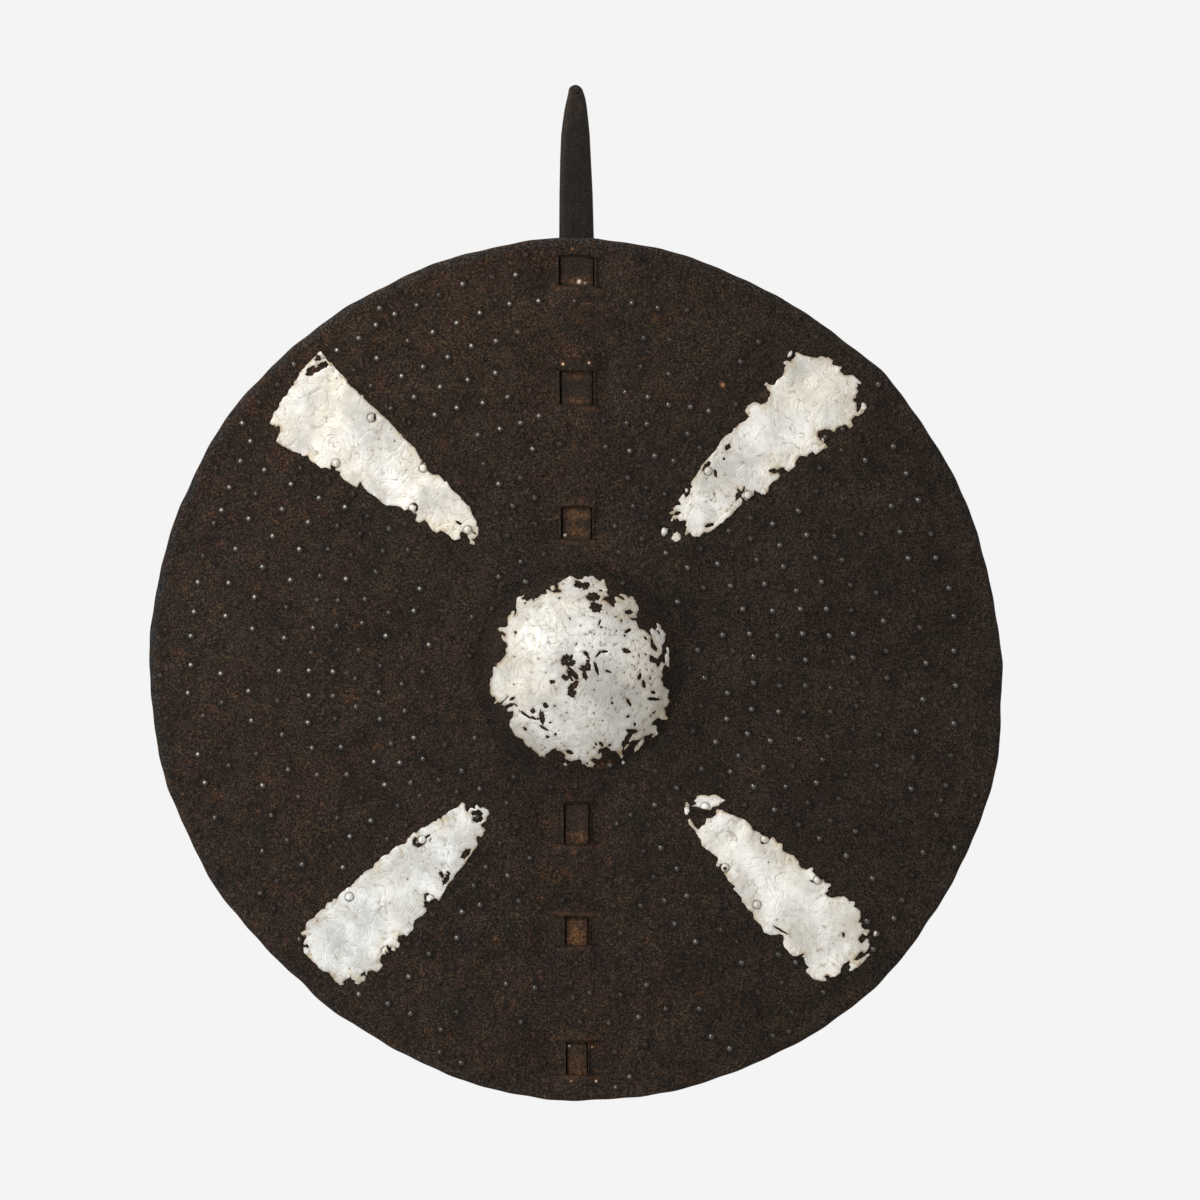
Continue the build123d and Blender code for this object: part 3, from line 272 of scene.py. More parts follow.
# Ragged outlines of the metal leaf, as (x, z) points.
LEAVES = {
    "leaf_top_left": [
        (-173, 216.6), (-170.8, 213.3), (-162.2, 204.7), (-161.8, 202.2), (-154.9, 196.3),
        (-152.6, 193.3), (-151.4, 194), (-150.4, 192.9), (-150.6, 191.5), (-132.2, 175),
        (-125.4, 167), (-123.1, 165.6), (-122.9, 164.2), (-113.6, 155.8), (-110.3, 148.7),
        (-108.9, 147.7), (-109.4, 145.7), (-107.4, 146.2), (-106.2, 145), (-105.3, 140.6),
        (-101.9, 137.4), (-97.5, 137.4), (-94.2, 134.1), (-93.6, 132.4), (-92, 132.8),
        (-87.6, 126.4), (-83.2, 122.9), (-75.2, 114.2), (-74, 109.5), (-70.7, 104.5),
        (-70.5, 102.3), (-71.4, 101), (-70, 101.1), (-69.4, 100.3), (-69.4, 95.7), (-71.8, 92.5),
        (-74.2, 92.4), (-71.7, 89.6), (-72.3, 88.1), (-75.8, 89.2), (-75.4, 91.7), (-77.4, 95.4),
        (-81, 97.8), (-82.6, 95.7), (-82.1, 92.6), (-86.1, 91.4), (-87.6, 92), (-90.6, 95.3),
        (-94, 97.4), (-96.1, 98.1), (-98.6, 96.5), (-102.1, 98.6), (-105.2, 103.8),
        (-107.4, 105.7), (-110, 103.8), (-111.9, 103.9), (-113.8, 105.4), (-112.7, 109.1),
        (-113.2, 110.3), (-114.8, 110.1), (-116.2, 111.8), (-119.5, 113.1), (-121.1, 112.2),
        (-124.4, 114.8), (-127.2, 115.7), (-134.5, 116.1), (-137.3, 117.7), (-141, 121.4),
        (-146.8, 125), (-151.4, 130.1), (-152.1, 132.4), (-153.2, 132.2), (-154.7, 128.6),
        (-156.8, 129.3), (-164.4, 134.2), (-166.9, 137.5), (-166.6, 139.6), (-170, 140.7),
        (-170.3, 142.6), (-173.4, 144.4), (-173.5, 141.4), (-176.4, 142.6), (-180.6, 142.1),
        (-184.1, 145.5), (-186.6, 146.2), (-188.4, 148), (-189.9, 151.3), (-193.4, 150.7),
        (-194.8, 152.7), (-200.6, 154.1), (-211.6, 160.5), (-212, 161.7), (-209.4, 167.6),
        (-209.4, 171.4), (-210.5, 172.2), (-212.6, 171.3), (-213.7, 172.7), (-215.1, 172.7),
        (-216.7, 174.1), (-213.4, 182), (-211.5, 183.2), (-209.9, 185.9), (-209.9, 188),
        (-206.7, 192.4), (-205, 193.4), (-201.4, 199.8), (-199.5, 200.8), (-199.7, 202.6),
        (-197, 205.6), (-195.6, 209.3), (-190.1, 215.5), (-188.4, 217.3), (-185.4, 220.3),
        (-183.4, 222), (-181.7, 224.2), (-180.5, 224.5), (-179, 222.4), (-176.8, 219.6),
        (-174.7, 216.8),
    ],
    "leaf_top_right": [
        (154.1, 223.7), (155.9, 223.6), (159.5, 221.5), (169.1, 219.7), (172, 221.1),
        (175.5, 219.9), (177.1, 220.4), (180.5, 218.1), (179.8, 215.6), (180.6, 214.6),
        (186.3, 213.7), (186.5, 212.6), (185.1, 211), (188.3, 207.6), (194, 207.9),
        (195.5, 206.9), (200.4, 202.2), (199.8, 201.4), (197.4, 201.9), (198.1, 200.1),
        (196.9, 198.4), (198.4, 196.4), (196.9, 194.3), (196.7, 191.8), (194.6, 191),
        (195.2, 188.9), (197, 188.8), (196.9, 182), (197.5, 181.5), (199, 182.5),
        (200.7, 186), (200.6, 187.8), (201.5, 188.6), (203.5, 187.3), (204.1, 184.8),
        (201, 180.7), (198, 178.9), (196.4, 179.3), (193.3, 176.4), (194.7, 172.1),
        (192.2, 170.1), (189.9, 172.6), (188.3, 172.7), (183.6, 170.8), (181.1, 167.6),
        (178.5, 169.4), (174.4, 169.9), (169.8, 168.1), (169.4, 164.7), (172.5, 161.1),
        (172, 163.3), (173.3, 163.5), (174.2, 161.9), (173.6, 160.3), (176.8, 157.2),
        (175.8, 156.2), (172.8, 155.3), (168.4, 151.6), (165.8, 154.1), (163.6, 152.6),
        (162.1, 150.2), (159.3, 150.9), (156.5, 150.4), (153.9, 146.1), (153.7, 143.6),
        (149.4, 139.5), (147.1, 140.7), (145.7, 142.8), (143.3, 142.5), (141.3, 140.7),
        (138.7, 142.3), (135.2, 140.9), (135, 139.7), (139.4, 138.2), (141.5, 139.1),
        (143, 136.8), (141.3, 134), (138.3, 132.8), (135.1, 129.2), (134.9, 126.4),
        (132.5, 123.6), (130.1, 123.6), (124.8, 126.6), (124.5, 123.2), (119.2, 119.2),
        (116.1, 122), (116.1, 123.7), (118.2, 126.7), (118.2, 129.7), (117.3, 129.5),
        (116.2, 125.4), (113.4, 128), (112.7, 127.1), (113.4, 125.1), (111.8, 124.1),
        (111.5, 119.7), (112.1, 119.1), (114.8, 121.5), (115.6, 121.4), (116.4, 119.7),
        (115.7, 116.5), (110.6, 111.6), (108.9, 108.9), (105.4, 107.1), (102.4, 103.6),
        (100.5, 103), (97, 99.5), (93.5, 97.4), (91.7, 96.7), (89.4, 97.2), (86.4, 93.9),
        (81.5, 94.1), (79.6, 97.1), (76.6, 94.8), (75.9, 95.4), (77.5, 100.8),
        (76.5, 101.7), (77.4, 104.2), (75.5, 105.5), (72.2, 105), (70.4, 107.1),
        (69.3, 106), (68.1, 106.6), (66.9, 104.5), (65.9, 105.1), (67.9, 109.2),
        (70.6, 108.7), (73.5, 110.4), (72.3, 111.8), (68.5, 111.8), (67.5, 113.9),
        (69.2, 115.5), (73, 116.3), (73.1, 117.2), (71.4, 119.5), (74.1, 123.3),
        (75.3, 124.2), (76.6, 121.2), (79.5, 123.9), (80, 127.8), (81.2, 129),
        (80.2, 130.9), (80.5, 132.4), (85.4, 138.9), (87.6, 144), (98.3, 155.6),
        (102.3, 162.6), (107, 166.4), (108.9, 166.9), (110.3, 170), (112.5, 171.2),
        (114.2, 173.4), (119.3, 175.9), (121.4, 178.1), (118.4, 182.2), (119.9, 185.9),
        (124.3, 188.6), (126.9, 188.4), (129.5, 187), (132.4, 187.9), (134.7, 189.9),
        (134.6, 191.5), (136.1, 193.2), (136.1, 195.7), (133.8, 198.2), (133.5, 200.3),
        (131.9, 200.6), (132.1, 201.3), (133.6, 202.8), (134.8, 201.3), (137.6, 200.6),
        (139.3, 201), (140.9, 204.2), (144.6, 206.8), (146, 210.1), (146.2, 213),
        (147.2, 214.5), (145.5, 216), (145.5, 217), (147.8, 218), (150.7, 217.1),
        (151.4, 218.9), (154.1, 221.1), (153.6, 222.6),
    ],
    "leaf_bottom_left": [
        (-80.9, -93.1), (-78.9, -94.2), (-78.6, -98.4), (-77.3, -100.1), (-75, -97.1),
        (-71.5, -97.9), (-71.5, -95.9), (-70.6, -94.8), (-68.3, -97.4), (-66.2, -96.7),
        (-62.7, -98.4), (-61.5, -101.6), (-63.1, -102.8), (-64, -106), (-67.7, -108.9),
        (-67.3, -110.5), (-65.6, -111), (-64.3, -113), (-65.7, -114.4), (-65.9, -116.3),
        (-67.6, -117.7), (-69.3, -116.8), (-70.5, -117.2), (-70, -123.4), (-80.9, -138.7),
        (-85.3, -143.4), (-88.1, -148.2), (-90.6, -150.3), (-96.9, -162.1),
        (-97.7, -162.5), (-98.7, -161), (-99.8, -160.8), (-102.4, -161.7),
        (-104.2, -163.4), (-106.7, -162.5), (-108.3, -163.7), (-107.4, -165.1),
        (-108.2, -166.5), (-106.2, -167.7), (-105.9, -169.8), (-108.9, -173.3),
        (-114.3, -176.2), (-115.4, -179.5), (-115.2, -182.3), (-118.8, -186.5),
        (-120.4, -187.7), (-121.4, -186.3), (-125.9, -187.3), (-126.5, -191),
        (-124.9, -192.5), (-125.6, -195.5), (-126.5, -196.2), (-128, -195.3),
        (-127.9, -197.6), (-128.7, -198.1), (-130.9, -197.1), (-130.6, -194.2),
        (-131.8, -195.6), (-133.4, -193.5), (-134.4, -194), (-132.6, -198.9),
        (-133.4, -199.3), (-135, -197.7), (-134.4, -200.3), (-137.7, -200.8),
        (-138.8, -205.6), (-136.8, -208.2), (-139.7, -212.1), (-141.2, -213),
        (-144.5, -211.3), (-147.8, -213.1), (-147.8, -215.2), (-149, -214.5),
        (-149.4, -212.3), (-152.5, -214.4), (-152.2, -216), (-150.1, -215.2),
        (-149.2, -215.6), (-149.2, -218.9), (-150.4, -219.8), (-151.4, -219.6),
        (-153.8, -221.5), (-156.1, -221.1), (-156.7, -220.5), (-156.2, -218.9),
        (-158.4, -218.2), (-159.5, -216.2), (-164.5, -219.3), (-165.2, -220.5),
        (-164.1, -221.4), (-164.9, -222), (-167.6, -222), (-168.6, -220.4),
        (-169.8, -220.3), (-174.9, -213.2), (-179.2, -212.3), (-192.5, -199.4),
        (-192.8, -196.1), (-191.5, -195.4), (-189.6, -196.2), (-188.9, -195.2),
        (-190.3, -193), (-191.8, -193.9), (-193, -193.1), (-192.6, -191.3),
        (-190.7, -188.8), (-191, -186.9), (-193.8, -187.2), (-194.9, -185.3),
        (-191.4, -183.4), (-191, -179.3), (-189.1, -176.7), (-186.2, -175.2),
        (-180.4, -168.9), (-177.8, -168.3), (-175.8, -163.8), (-172.7, -163.6),
        (-171.6, -161.1), (-169.1, -161.5), (-167.3, -157.9), (-157.3, -150.4),
        (-152.8, -144.9), (-150.9, -144.1), (-150.3, -142.6), (-147.7, -140.9),
        (-144, -139.8), (-142.8, -136.6), (-139.9, -134.6), (-138.3, -132.3),
        (-135.7, -130.5), (-132.2, -129.6), (-131.7, -128.1), (-127.2, -124),
        (-120.6, -122.1), (-119.1, -118.6), (-114.9, -114.3), (-113.2, -114.8),
        (-109.3, -111), (-106.8, -110.8), (-102.4, -107.6), (-99.1, -106.6),
        (-97.7, -104.3), (-95.9, -105), (-94.5, -102.7), (-92.6, -102), (-89.9, -99.2),
        (-83.8, -96.4),
    ],
    "leaf_bottom_right": [
        (98.5, -98.2), (102.4, -98.8), (103.8, -100.1), (118.4, -105.5), (122.2, -109.3),
        (124.1, -113.1), (128.7, -114.5), (129.5, -115.9), (134.6, -118), (135.5, -119.8),
        (137.6, -117.5), (139.8, -119.3), (141.2, -121.9), (143.8, -121.9),
        (144.6, -122.8), (144.9, -127.2), (149.8, -130), (152.8, -130.7), (156.4, -135.2),
        (156.2, -137.1), (158.2, -139.5), (162.1, -140.7), (165.6, -139.1),
        (166.4, -139.9), (165.7, -142.2), (171.2, -147.6), (173.5, -147.6),
        (174.6, -149.9), (178.9, -150.7), (179.1, -151.9), (176.6, -153.8), (177, -155.8),
        (175, -157.2), (175, -158.2), (176.7, -159.7), (179.5, -160.6), (187.8, -159.4),
        (190.4, -161), (191.8, -163.1), (195, -163.2), (196, -164), (195.1, -167.2),
        (197.3, -168), (199.7, -170.4), (200, -174.4), (198.4, -177.6), (201.1, -178.5),
        (200.4, -180.9), (201.3, -182.1), (203.1, -183.3), (205.6, -183.1),
        (206.4, -184.1), (204.3, -187.4), (203.3, -187.4), (201.3, -185.6),
        (198.1, -190.1), (200.8, -193), (203.5, -189.8), (205.4, -189.6), (206.4, -193.6),
        (205.8, -196.1), (203.5, -199.1), (202.2, -199.7), (201.2, -198.4),
        (199.6, -198.8), (195.3, -204.3), (197.5, -204.8), (205.9, -200), (206.5, -201),
        (198.4, -209.4), (192.5, -212.3), (191.8, -211.7), (192.1, -211), (193, -209.1),
        (191.8, -207.9), (192.5, -205.4), (191.5, -205), (187.5, -207.9), (185.9, -210.7),
        (185.8, -213.5), (181.8, -216.4), (178.3, -216.6), (177.1, -215), (174.6, -215.7),
        (174.3, -216.3), (176.1, -218.1), (175.5, -219.4), (171.1, -219), (165.8, -217.3),
        (161.5, -212.8), (161.7, -211), (163.6, -209.6), (161, -206.8), (160.1, -202.9),
        (158.8, -201.9), (160.2, -200), (158.8, -199.8), (154.5, -201.8), (151.9, -201.4),
        (146, -195.2), (145.1, -192.4), (145.6, -187.4), (145, -186.8), (142.7, -185.9),
        (136.4, -186.8), (131.9, -185), (129.6, -180), (124.7, -175.5), (123.6, -170.5),
        (120.9, -169.2), (118, -164.7), (116.1, -163.7), (116.1, -160.2), (110.3, -154.5),
        (110.1, -153.8), (111.5, -152.9), (111.1, -152.2), (107.1, -148.9),
        (103.6, -142.9), (102.2, -141.9), (101.1, -138.9), (101.8, -136.6),
        (100.6, -137.1), (99.8, -138.8), (98.3, -138.2), (98.1, -136.8), (99.5, -133.8),
        (99, -131.8), (87.9, -123.7), (87.4, -120), (83.3, -113.3), (78.8, -108.8),
        (78.1, -105.6), (79.4, -104.5), (83.7, -111.1), (84.8, -112), (86.4, -111.8),
        (88, -109.6), (90.2, -108.8), (91, -104.6), (94.9, -104.1), (98.5, -101.7),
        (97.8, -99.4),
    ],
    "centre_leaf": [
        (9.4, 66.4), (10.7, 66.3), (16, 62.4), (18.3, 64), (19.3, 63.5), (20.5, 58.3),
        (21.7, 56.5), (20.7, 54.7), (22.6, 51.9), (19.5, 51.5), (17.7, 49.1), (19.7, 49),
        (25.3, 44.3), (26.5, 44.5), (26.5, 46.5), (27.5, 47.9), (26.5, 50.5), (26.9, 51.5),
        (28.7, 51.5), (32.6, 49.2), (33.7, 49.6), (32.2, 51.5), (29.8, 52.4), (30.4, 53.9),
        (34.1, 52.7), (36.6, 50.6), (37.7, 52), (39.7, 51.4), (40, 50), (41.4, 48.9),
        (43.4, 42.2), (41.8, 39.1), (42.3, 37.3), (41, 36.5), (37.7, 36.7), (37.4, 35.9),
        (38.9, 34.9), (41.2, 34.9), (43.9, 29), (47.3, 28.1), (52, 24.1), (51.8, 16.5),
        (54.2, 14), (56, 12.9), (56.6, 15.3), (54.3, 18.7), (51.1, 28.2), (52.8, 29.7),
        (54.9, 27.5), (56.6, 30.1), (55.9, 32.6), (56.3, 33), (58.3, 31.9), (59.4, 28.9),
        (62.6, 25.2), (61.3, 19.4), (59.8, 17.4), (59.6, 11.8), (56.5, 7.8), (53.5, 10.1),
        (51.2, 10.5), (50.8, 7.2), (51.7, 5.7), (55.1, 4.7), (56.5, 1.8), (58.3, 3.3),
        (59.3, 5.7), (61.8, 4.7), (62.2, 11.1), (63.4, 12.3), (62.6, 15.7), (63.7, 16.3),
        (64.7, 15.1), (64.9, 2.6), (64.1, 2.2), (62.1, 4.1), (61, 2.5), (59.6, -1.2),
        (60.5, -3.5), (59, -6.2), (61, -11.6), (64.7, -14.1), (63.6, -19.5), (64.9, -20.9),
        (64.9, -22.4), (63.4, -25.2), (61.2, -26.8), (62.4, -29.6), (62.2, -31.5),
        (64.2, -34), (63.4, -34.8), (60.2, -34.9), (57.2, -33.5), (52.7, -37),
        (52.8, -38.8), (55.1, -38.8), (56.1, -39.6), (55.9, -42.8), (57.1, -44),
        (56.9, -45.2), (53.5, -47.6), (52.5, -47.2), (53.6, -45.2), (53, -44.4),
        (42.4, -49.2), (38.9, -49.5), (36.8, -50.8), (36.5, -49.8), (39.7, -44.7),
        (41.9, -43.9), (42.9, -42.6), (40, -41.4), (34.5, -41.4), (34.1, -42.2),
        (35.6, -43.6), (35.6, -44.7), (33.7, -47), (33.2, -49.1), (31.6, -50.2),
        (31.2, -52.3), (32.6, -55.1), (31.4, -57.7), (32.6, -60.9), (31.2, -62.6),
        (30.3, -60.6), (27.5, -56.9), (24.3, -56.8), (20.8, -53.8), (15.1, -55.7),
        (15, -59.1), (16.7, -58), (17.5, -58.8), (17.2, -61.2), (15, -62.9), (11.6, -61.7),
        (9.4, -63.4), (12.8, -65.8), (11.3, -68.4), (7.6, -68.2), (5.5, -66.3),
        (3.5, -66.1), (3.1, -63.5), (1.9, -62.6), (-3.7, -64.3), (-7.6, -62.7),
        (-8.5, -61.6), (-8.2, -59.7), (-11.4, -56.8), (-14.3, -56.6), (-14.6, -54.3),
        (-21.8, -59), (-23.1, -61.7), (-24.6, -60.3), (-26.2, -61), (-27.4, -58.8),
        (-31.2, -56), (-32, -54.1), (-34.1, -54.3), (-36.2, -52.4), (-38.2, -48.5),
        (-42.1, -47.1), (-43.7, -45.6), (-47.4, -38.9), (-46.9, -35.4), (-45.1, -33.1),
        (-44.6, -29.2), (-45.2, -28.6), (-48.8, -29.1), (-49.2, -27.5), (-47.3, -26),
        (-45.4, -25.8), (-44, -24), (-42.1, -26), (-41.6, -24.8), (-44, -23.1),
        (-47, -23.1), (-50.9, -25.4), (-53.1, -23.9), (-48, -18.8), (-48.2, -17.7),
        (-53.7, -22.8), (-55.6, -22.6), (-57.9, -23.7), (-58.3, -23.1), (-56.9, -21.5),
        (-57.5, -18.8), (-59.3, -18.6), (-61, -16.5), (-61.2, -6.5), (-59, -4),
        (-58.9, 1.9), (-58.3, 2.6), (-56.5, 2.2), (-56.1, 4.9), (-54.2, 5.5), (-50.8, 9.7),
        (-49.5, 11.8), (-50.1, 14.8), (-48.7, 16.5), (-49.4, 19), (-51.8, 20.9),
        (-53.2, 23.4), (-52.6, 25.1), (-50.2, 23.5), (-50.1, 25.3), (-52.4, 27.5),
        (-54.2, 27), (-55.9, 29), (-53.9, 30.2), (-50.5, 30), (-48.5, 31.3), (-48.7, 37),
        (-45.1, 41.8), (-43.9, 41.5), (-44.3, 37.8), (-43.6, 38.4), (-42.3, 41.5),
        (-42.9, 44.4), (-42.3, 50.7), (-37.5, 53.1), (-37, 52.1), (-39.2, 50.5),
        (-39.1, 49.7), (-36.6, 49.5), (-35.4, 48.3), (-31.9, 50.4), (-30.4, 48.3),
        (-29.6, 50.2), (-27.6, 50.8), (-25, 53.2), (-21.1, 53.6), (-21.7, 56.1),
        (-20.9, 56.9), (-16.2, 54.3), (-11.4, 54.8), (-10.5, 55.8), (-12.9, 57),
        (-13.5, 61.2), (-4.9, 66.3), (0.5, 63.6), (3.9, 64), (5.1, 65.9), (7.9, 65.2),
    ],
}

# Tears through the leaf: centre, half length, half width, turn in degrees.
TEARS = {
    "leaf_top_left": [
        (-83.2, 103.5, 2.3, 0.9, 151), (-142.4, 178, 2.4, 0.7, 93),
        (-112.8, 114.1, 1.9, 0.8, 77), (-113.7, 116.4, 1.6, 0.9, 153),
        (-72.1, 96.4, 1.4, 0.7, 139), (-187.2, 211.0, 4.4, 2.8, 38), (-178.9, 214.9, 3.2, 2.6, 10),
        (-182.3, 219.4, 2.2, 1.9, 50), (-183.2, 211.4, 3.2, 1.7, 10),
    ],
    "leaf_top_right": [
        (93.5, 101.9, 3.3, 1.4, 16), (106.4, 157, 2.2, 1.7, 54),
        (97.5, 138.5, 2.9, 1.1, 103), (92.6, 145.3, 1.8, 1.5, 33),
        (90.8, 144.1, 1.5, 0.9, 135), (89.2, 142.1, 2.1, 0.6, 61),
        (103.5, 148.6, 1, 0.9, 86),
    ],
    "leaf_bottom_left": [
        (-78.4, -129.4, 4.6, 2.1, 46), (-70, -104.8, 3.3, 2.5, 24),
        (-70.2, -100.7, 3.8, 2.1, 171), (-92.5, -148.2, 3.5, 1.9, 56),
        (-114.2, -120.7, 2.9, 1.5, 80), (-111.5, -123.3, 3, 1.4, 5),
        (-95.3, -143.8, 2.3, 1.4, 116), (-105, -117, 2.2, 0.9, 35),
        (-90.3, -143, 1.9, 0.9, 135), (-91.2, -144.7, 1.7, 1, 4),
        (-106, -158, 1.7, 0.9, 25), (-107, -160.3, 1.9, 0.8, 99),
        (-103.1, -119.6, 1.5, 0.4, 63),
    ],
    "leaf_bottom_right": [
        (143, -183.1, 5.5, 0.8, 149), (187.8, -186.6, 1.9, 1, 95),
        (104.3, -139.7, 1.4, 1.2, 172), (130.8, -122, 1.7, 0.7, 167),
        (165.2, -148.9, 1.4, 0.7, 132),
    ],
    "centre_leaf": [
        (13.7, 44.1, 4.5, 3.3, 169), (11.2, 51.6, 4.6, 3.2, 174),
        (-2.6, -2.1, 5.4, 1.9, 127), (-8, 7.5, 3.9, 2.6, 61), (-2.4, -10.7, 4.2, 2.2, 38),
        (-3.7, -16, 3.3, 2.8, 147), (6.1, 59.3, 3.3, 2.7, 31), (1.3, 60.1, 3.3, 2.7, 147),
        (-24.4, -33.3, 4.6, 1.9, 96), (5.7, -3.4, 3.8, 1.6, 102), (6.2, 0.9, 4, 1.5, 177),
        (53.8, -20.3, 4.8, 1.2, 178), (-4.9, -3.7, 4.5, 1.2, 115),
        (-7.9, -5.3, 2.6, 2, 147), (13.6, 1.7, 4.7, 1.1, 106), (-4.2, 4.6, 3.2, 1.6, 13),
        (34.8, 13.6, 3, 1.7, 162), (-36.1, -31.3, 5, 0.9, 143), (36.5, 40.8, 2.6, 1.7, 6),
        (36.4, -22.5, 3.4, 1.1, 120), (-5.4, -57.5, 2.6, 1.4, 161),
        (-23.2, -40.6, 3.6, 1, 150), (-21.6, -24.7, 2.1, 1.7, 137),
        (46.9, -10, 2.9, 1.2, 100), (35.7, 27.6, 2.7, 1.2, 24), (44, -4.3, 2.4, 1.3, 69),
        (-30.9, -28.5, 1.9, 1.6, 96), (8.4, 3.9, 2.5, 1.2, 108), (-17.1, -8, 2, 1.5, 8),
        (6.6, 11.7, 2.1, 1.4, 150), (15.1, 11.4, 3, 0.9, 51), (19.1, 13.2, 2.4, 1.1, 7),
        (-4.3, 9.1, 2.1, 1.2, 67), (53.7, -15.7, 2, 1.2, 154),
        (-45.5, -20.2, 2.1, 1.1, 27), (17.2, -52.1, 1.9, 1.2, 137),
        (-30.6, -33.5, 2.2, 1, 154), (22.1, -0.8, 2.3, 0.9, 161),
        (-36.5, -41.3, 1.6, 1.1, 127), (-20.6, -46.9, 1.6, 1, 164),
        (7.8, 6.6, 1.7, 0.9, 12), (6.8, 3.5, 1.9, 0.8, 95), (4.6, 2.9, 1.9, 0.8, 2),
        (8, 9.3, 1.5, 1, 133), (15.9, 33.4, 2.1, 0.7, 67), (40.7, -38, 1.5, 0.9, 79),
        (57.6, 26.5, 1.9, 0.7, 126), (-2.2, 6.5, 1.6, 0.8, 153), (36, -32.2, 1.4, 0.9, 47),
        (-4.3, 6.9, 1.5, 0.8, 28), (48.2, 22.4, 1.7, 0.7, 125),
        (23.2, -52.7, 1.3, 0.9, 10), (-43, 26.5, 1.1, 1, 119), (-15, -44.9, 1.1, 1, 168),
        (-27.3, -34.1, 1.2, 0.9, 16), (-25.9, -30, 2.7, 0.4, 82), (17, 56, 1.4, 0.7, 172),
        (54.3, -29.8, 1.6, 0.6, 39), (17.1, 30.2, 1.1, 0.8, 12),
        (33.6, 24.4, 1.1, 0.8, 136), (13.5, -52.1, 1.2, 0.7, 123),
        (7.2, -65.9, 1.2, 0.7, 133), (-18.6, -36.7, 1, 0.8, 176),
        (24.8, -22.9, 0.9, 0.8, 130), (-15.4, -24.9, 0.9, 0.8, 14),
        (31.4, 34.7, 1.2, 0.6, 117), (43.6, 10.4, 1.3, 0.5, 102),
        (48.4, 11.1, 0.9, 0.7, 164), (51.5, -5.7, 0.9, 0.7, 85), (-4.8, 36.3, 1, 0.6, 119),
        (-12.3, 50.6, 1.1, 0.5, 41), (-0.3, 18.3, 1.1, 0.5, 69),
        (-36.5, 47.1, 0.9, 0.6, 30), (12.2, -54.4, 0.9, 0.6, 163),
        (27.3, 37.4, 0.8, 0.6, 1), (51.8, -32.1, 0.8, 0.5, 19),
    ],
}

# Loose scraps beside it, given the same way.
FLAKES = {
    "leaf_top_left": [
    ],
    "leaf_top_right": [
        (70.2, 93.7, 3.2, 3, 61), (61.6, 97.3, 2.9, 2.3, 57), (150.1, 222.6, 2.4, 1.1, 59),
        (67, 110.7, 2, 0.9, 16), (77.2, 126.5, 1.4, 1, 71),
    ],
    "leaf_bottom_right": [
        (92, -93.2, 9.8, 4.9, 7), (77.4, -97.6, 4.4, 1.6, 87), (210.1, -186, 1.7, 1.2, 79),
    ],
    "centre_leaf": [
        (43.8, -52.8, 5.1, 1.6, 54), (-16.9, 57.9, 1.8, 1.7, 171),
        (34.9, -53.8, 2.1, 0.8, 49), (32.5, -65, 1.2, 1, 116), (-8.2, -66.3, 1.2, 1, 147),
    ],
}

# --------------------------------------------------------------------- helpers
rng = np.random.default_rng(41)


def smooth(a, b, v):
    t = np.clip((v - a) / (b - a), 0.0, 1.0)
    return t * t * (3 - 2 * t)


_WAVES = {}


def waves(name, x, z, size, octaves=3, seed=0):
    """A smooth random field, about -1 to 1, whose largest swells are size mm."""
    if name not in _WAVES:
        g = np.random.default_rng(1000 + seed)
        rows = []
        for o in range(octaves):
            for _ in range(7):
                a = g.uniform(0, 2 * math.pi)
                f = 2 * math.pi / (size / 2**o) * g.uniform(0.7, 1.35)
                rows.append((f * math.cos(a), f * math.sin(a), g.uniform(0, 6.28), 0.5**o))
        _WAVES[name] = rows
    out = np.zeros_like(x, dtype=float)
    norm = 0.0
    for fx, fz, ph, w in _WAVES[name]:
        out += w * np.sin(fx * x + fz * z + ph)
        norm += w * w
    return out / math.sqrt(norm * 0.5) * 0.5


_ra = np.radians([a for a, _ in RIM])
_rr = np.array([r for _, r in RIM])
_th = np.linspace(0, 2 * math.pi, 1441)[:-1]
_rad = np.interp(_th, np.r_[_ra - 2 * math.pi, _ra, _ra + 2 * math.pi], np.r_[_rr, _rr, _rr])
_k = np.hanning(15)
_k /= _k.sum()
_rad = np.convolve(np.r_[_rad[-7:], _rad, _rad[:7]], _k, "valid")
_rad += 0.28 * np.sin(37 * _th + 1.0) * np.sin(5 * _th) + 0.18 * np.sin(83 * _th)


def rim(theta):
    return np.interp(np.mod(theta, 2 * math.pi), np.r_[_th, 2 * math.pi], np.r_[_rad, _rad[0]])


def staff_half(z):
    t = (z - STAFF_FOOT_Z) / (STAFF_RIM_Z - STAFF_FOOT_Z)
    return STAFF_FOOT_HALF + t * (12.7 - STAFF_FOOT_HALF)


def staff_right(z):
    t = (z - STAFF_FOOT_Z) / (STAFF_RIM_Z - STAFF_FOOT_Z)
    return STAFF_FOOT_HALF + t * (12.0 - STAFF_FOOT_HALF)


def slit_z(s, x):
    """Height of slit s at x."""
    z0, left, right, slope, sag = s[:5]
    half = (left + right) / 2
    u = (x - (right - left) / 2) / half
    return z0 + slope * x + sag * (1 - np.clip(u * u, 0, 1.6))


def slit_u(s, x):
    left, right = s[1], s[2]
    return (x - (right - left) / 2) / ((left + right) / 2)


STUD = np.array(
    [(r * math.cos(math.radians(a)), r * math.sin(math.radians(a)), b) for a, r, b in STUDS]
)
STUD_R = 2.35 + 0.07 * STUD[:, 2]
STUD_H = 0.85 + 0.08 * STUD[:, 2]
STUD_GLOSS = 0.22 + 0.78 * (STUD[:, 2] - 1) / 8
# The boldest studs get a painted highlight: a pale spot on the upper left of the top, strongest on the upper left of
# the disc, where the key light falls.
STUD_GLINT = np.clip((STUD[:, 2] - 4.5) / 4.5, 0, 1) ** 1.3 * np.clip(
    0.46 - STUD[:, 0] / 420 + np.clip(STUD[:, 1], -200, 250) / 1000, 0.36, 0.92
)
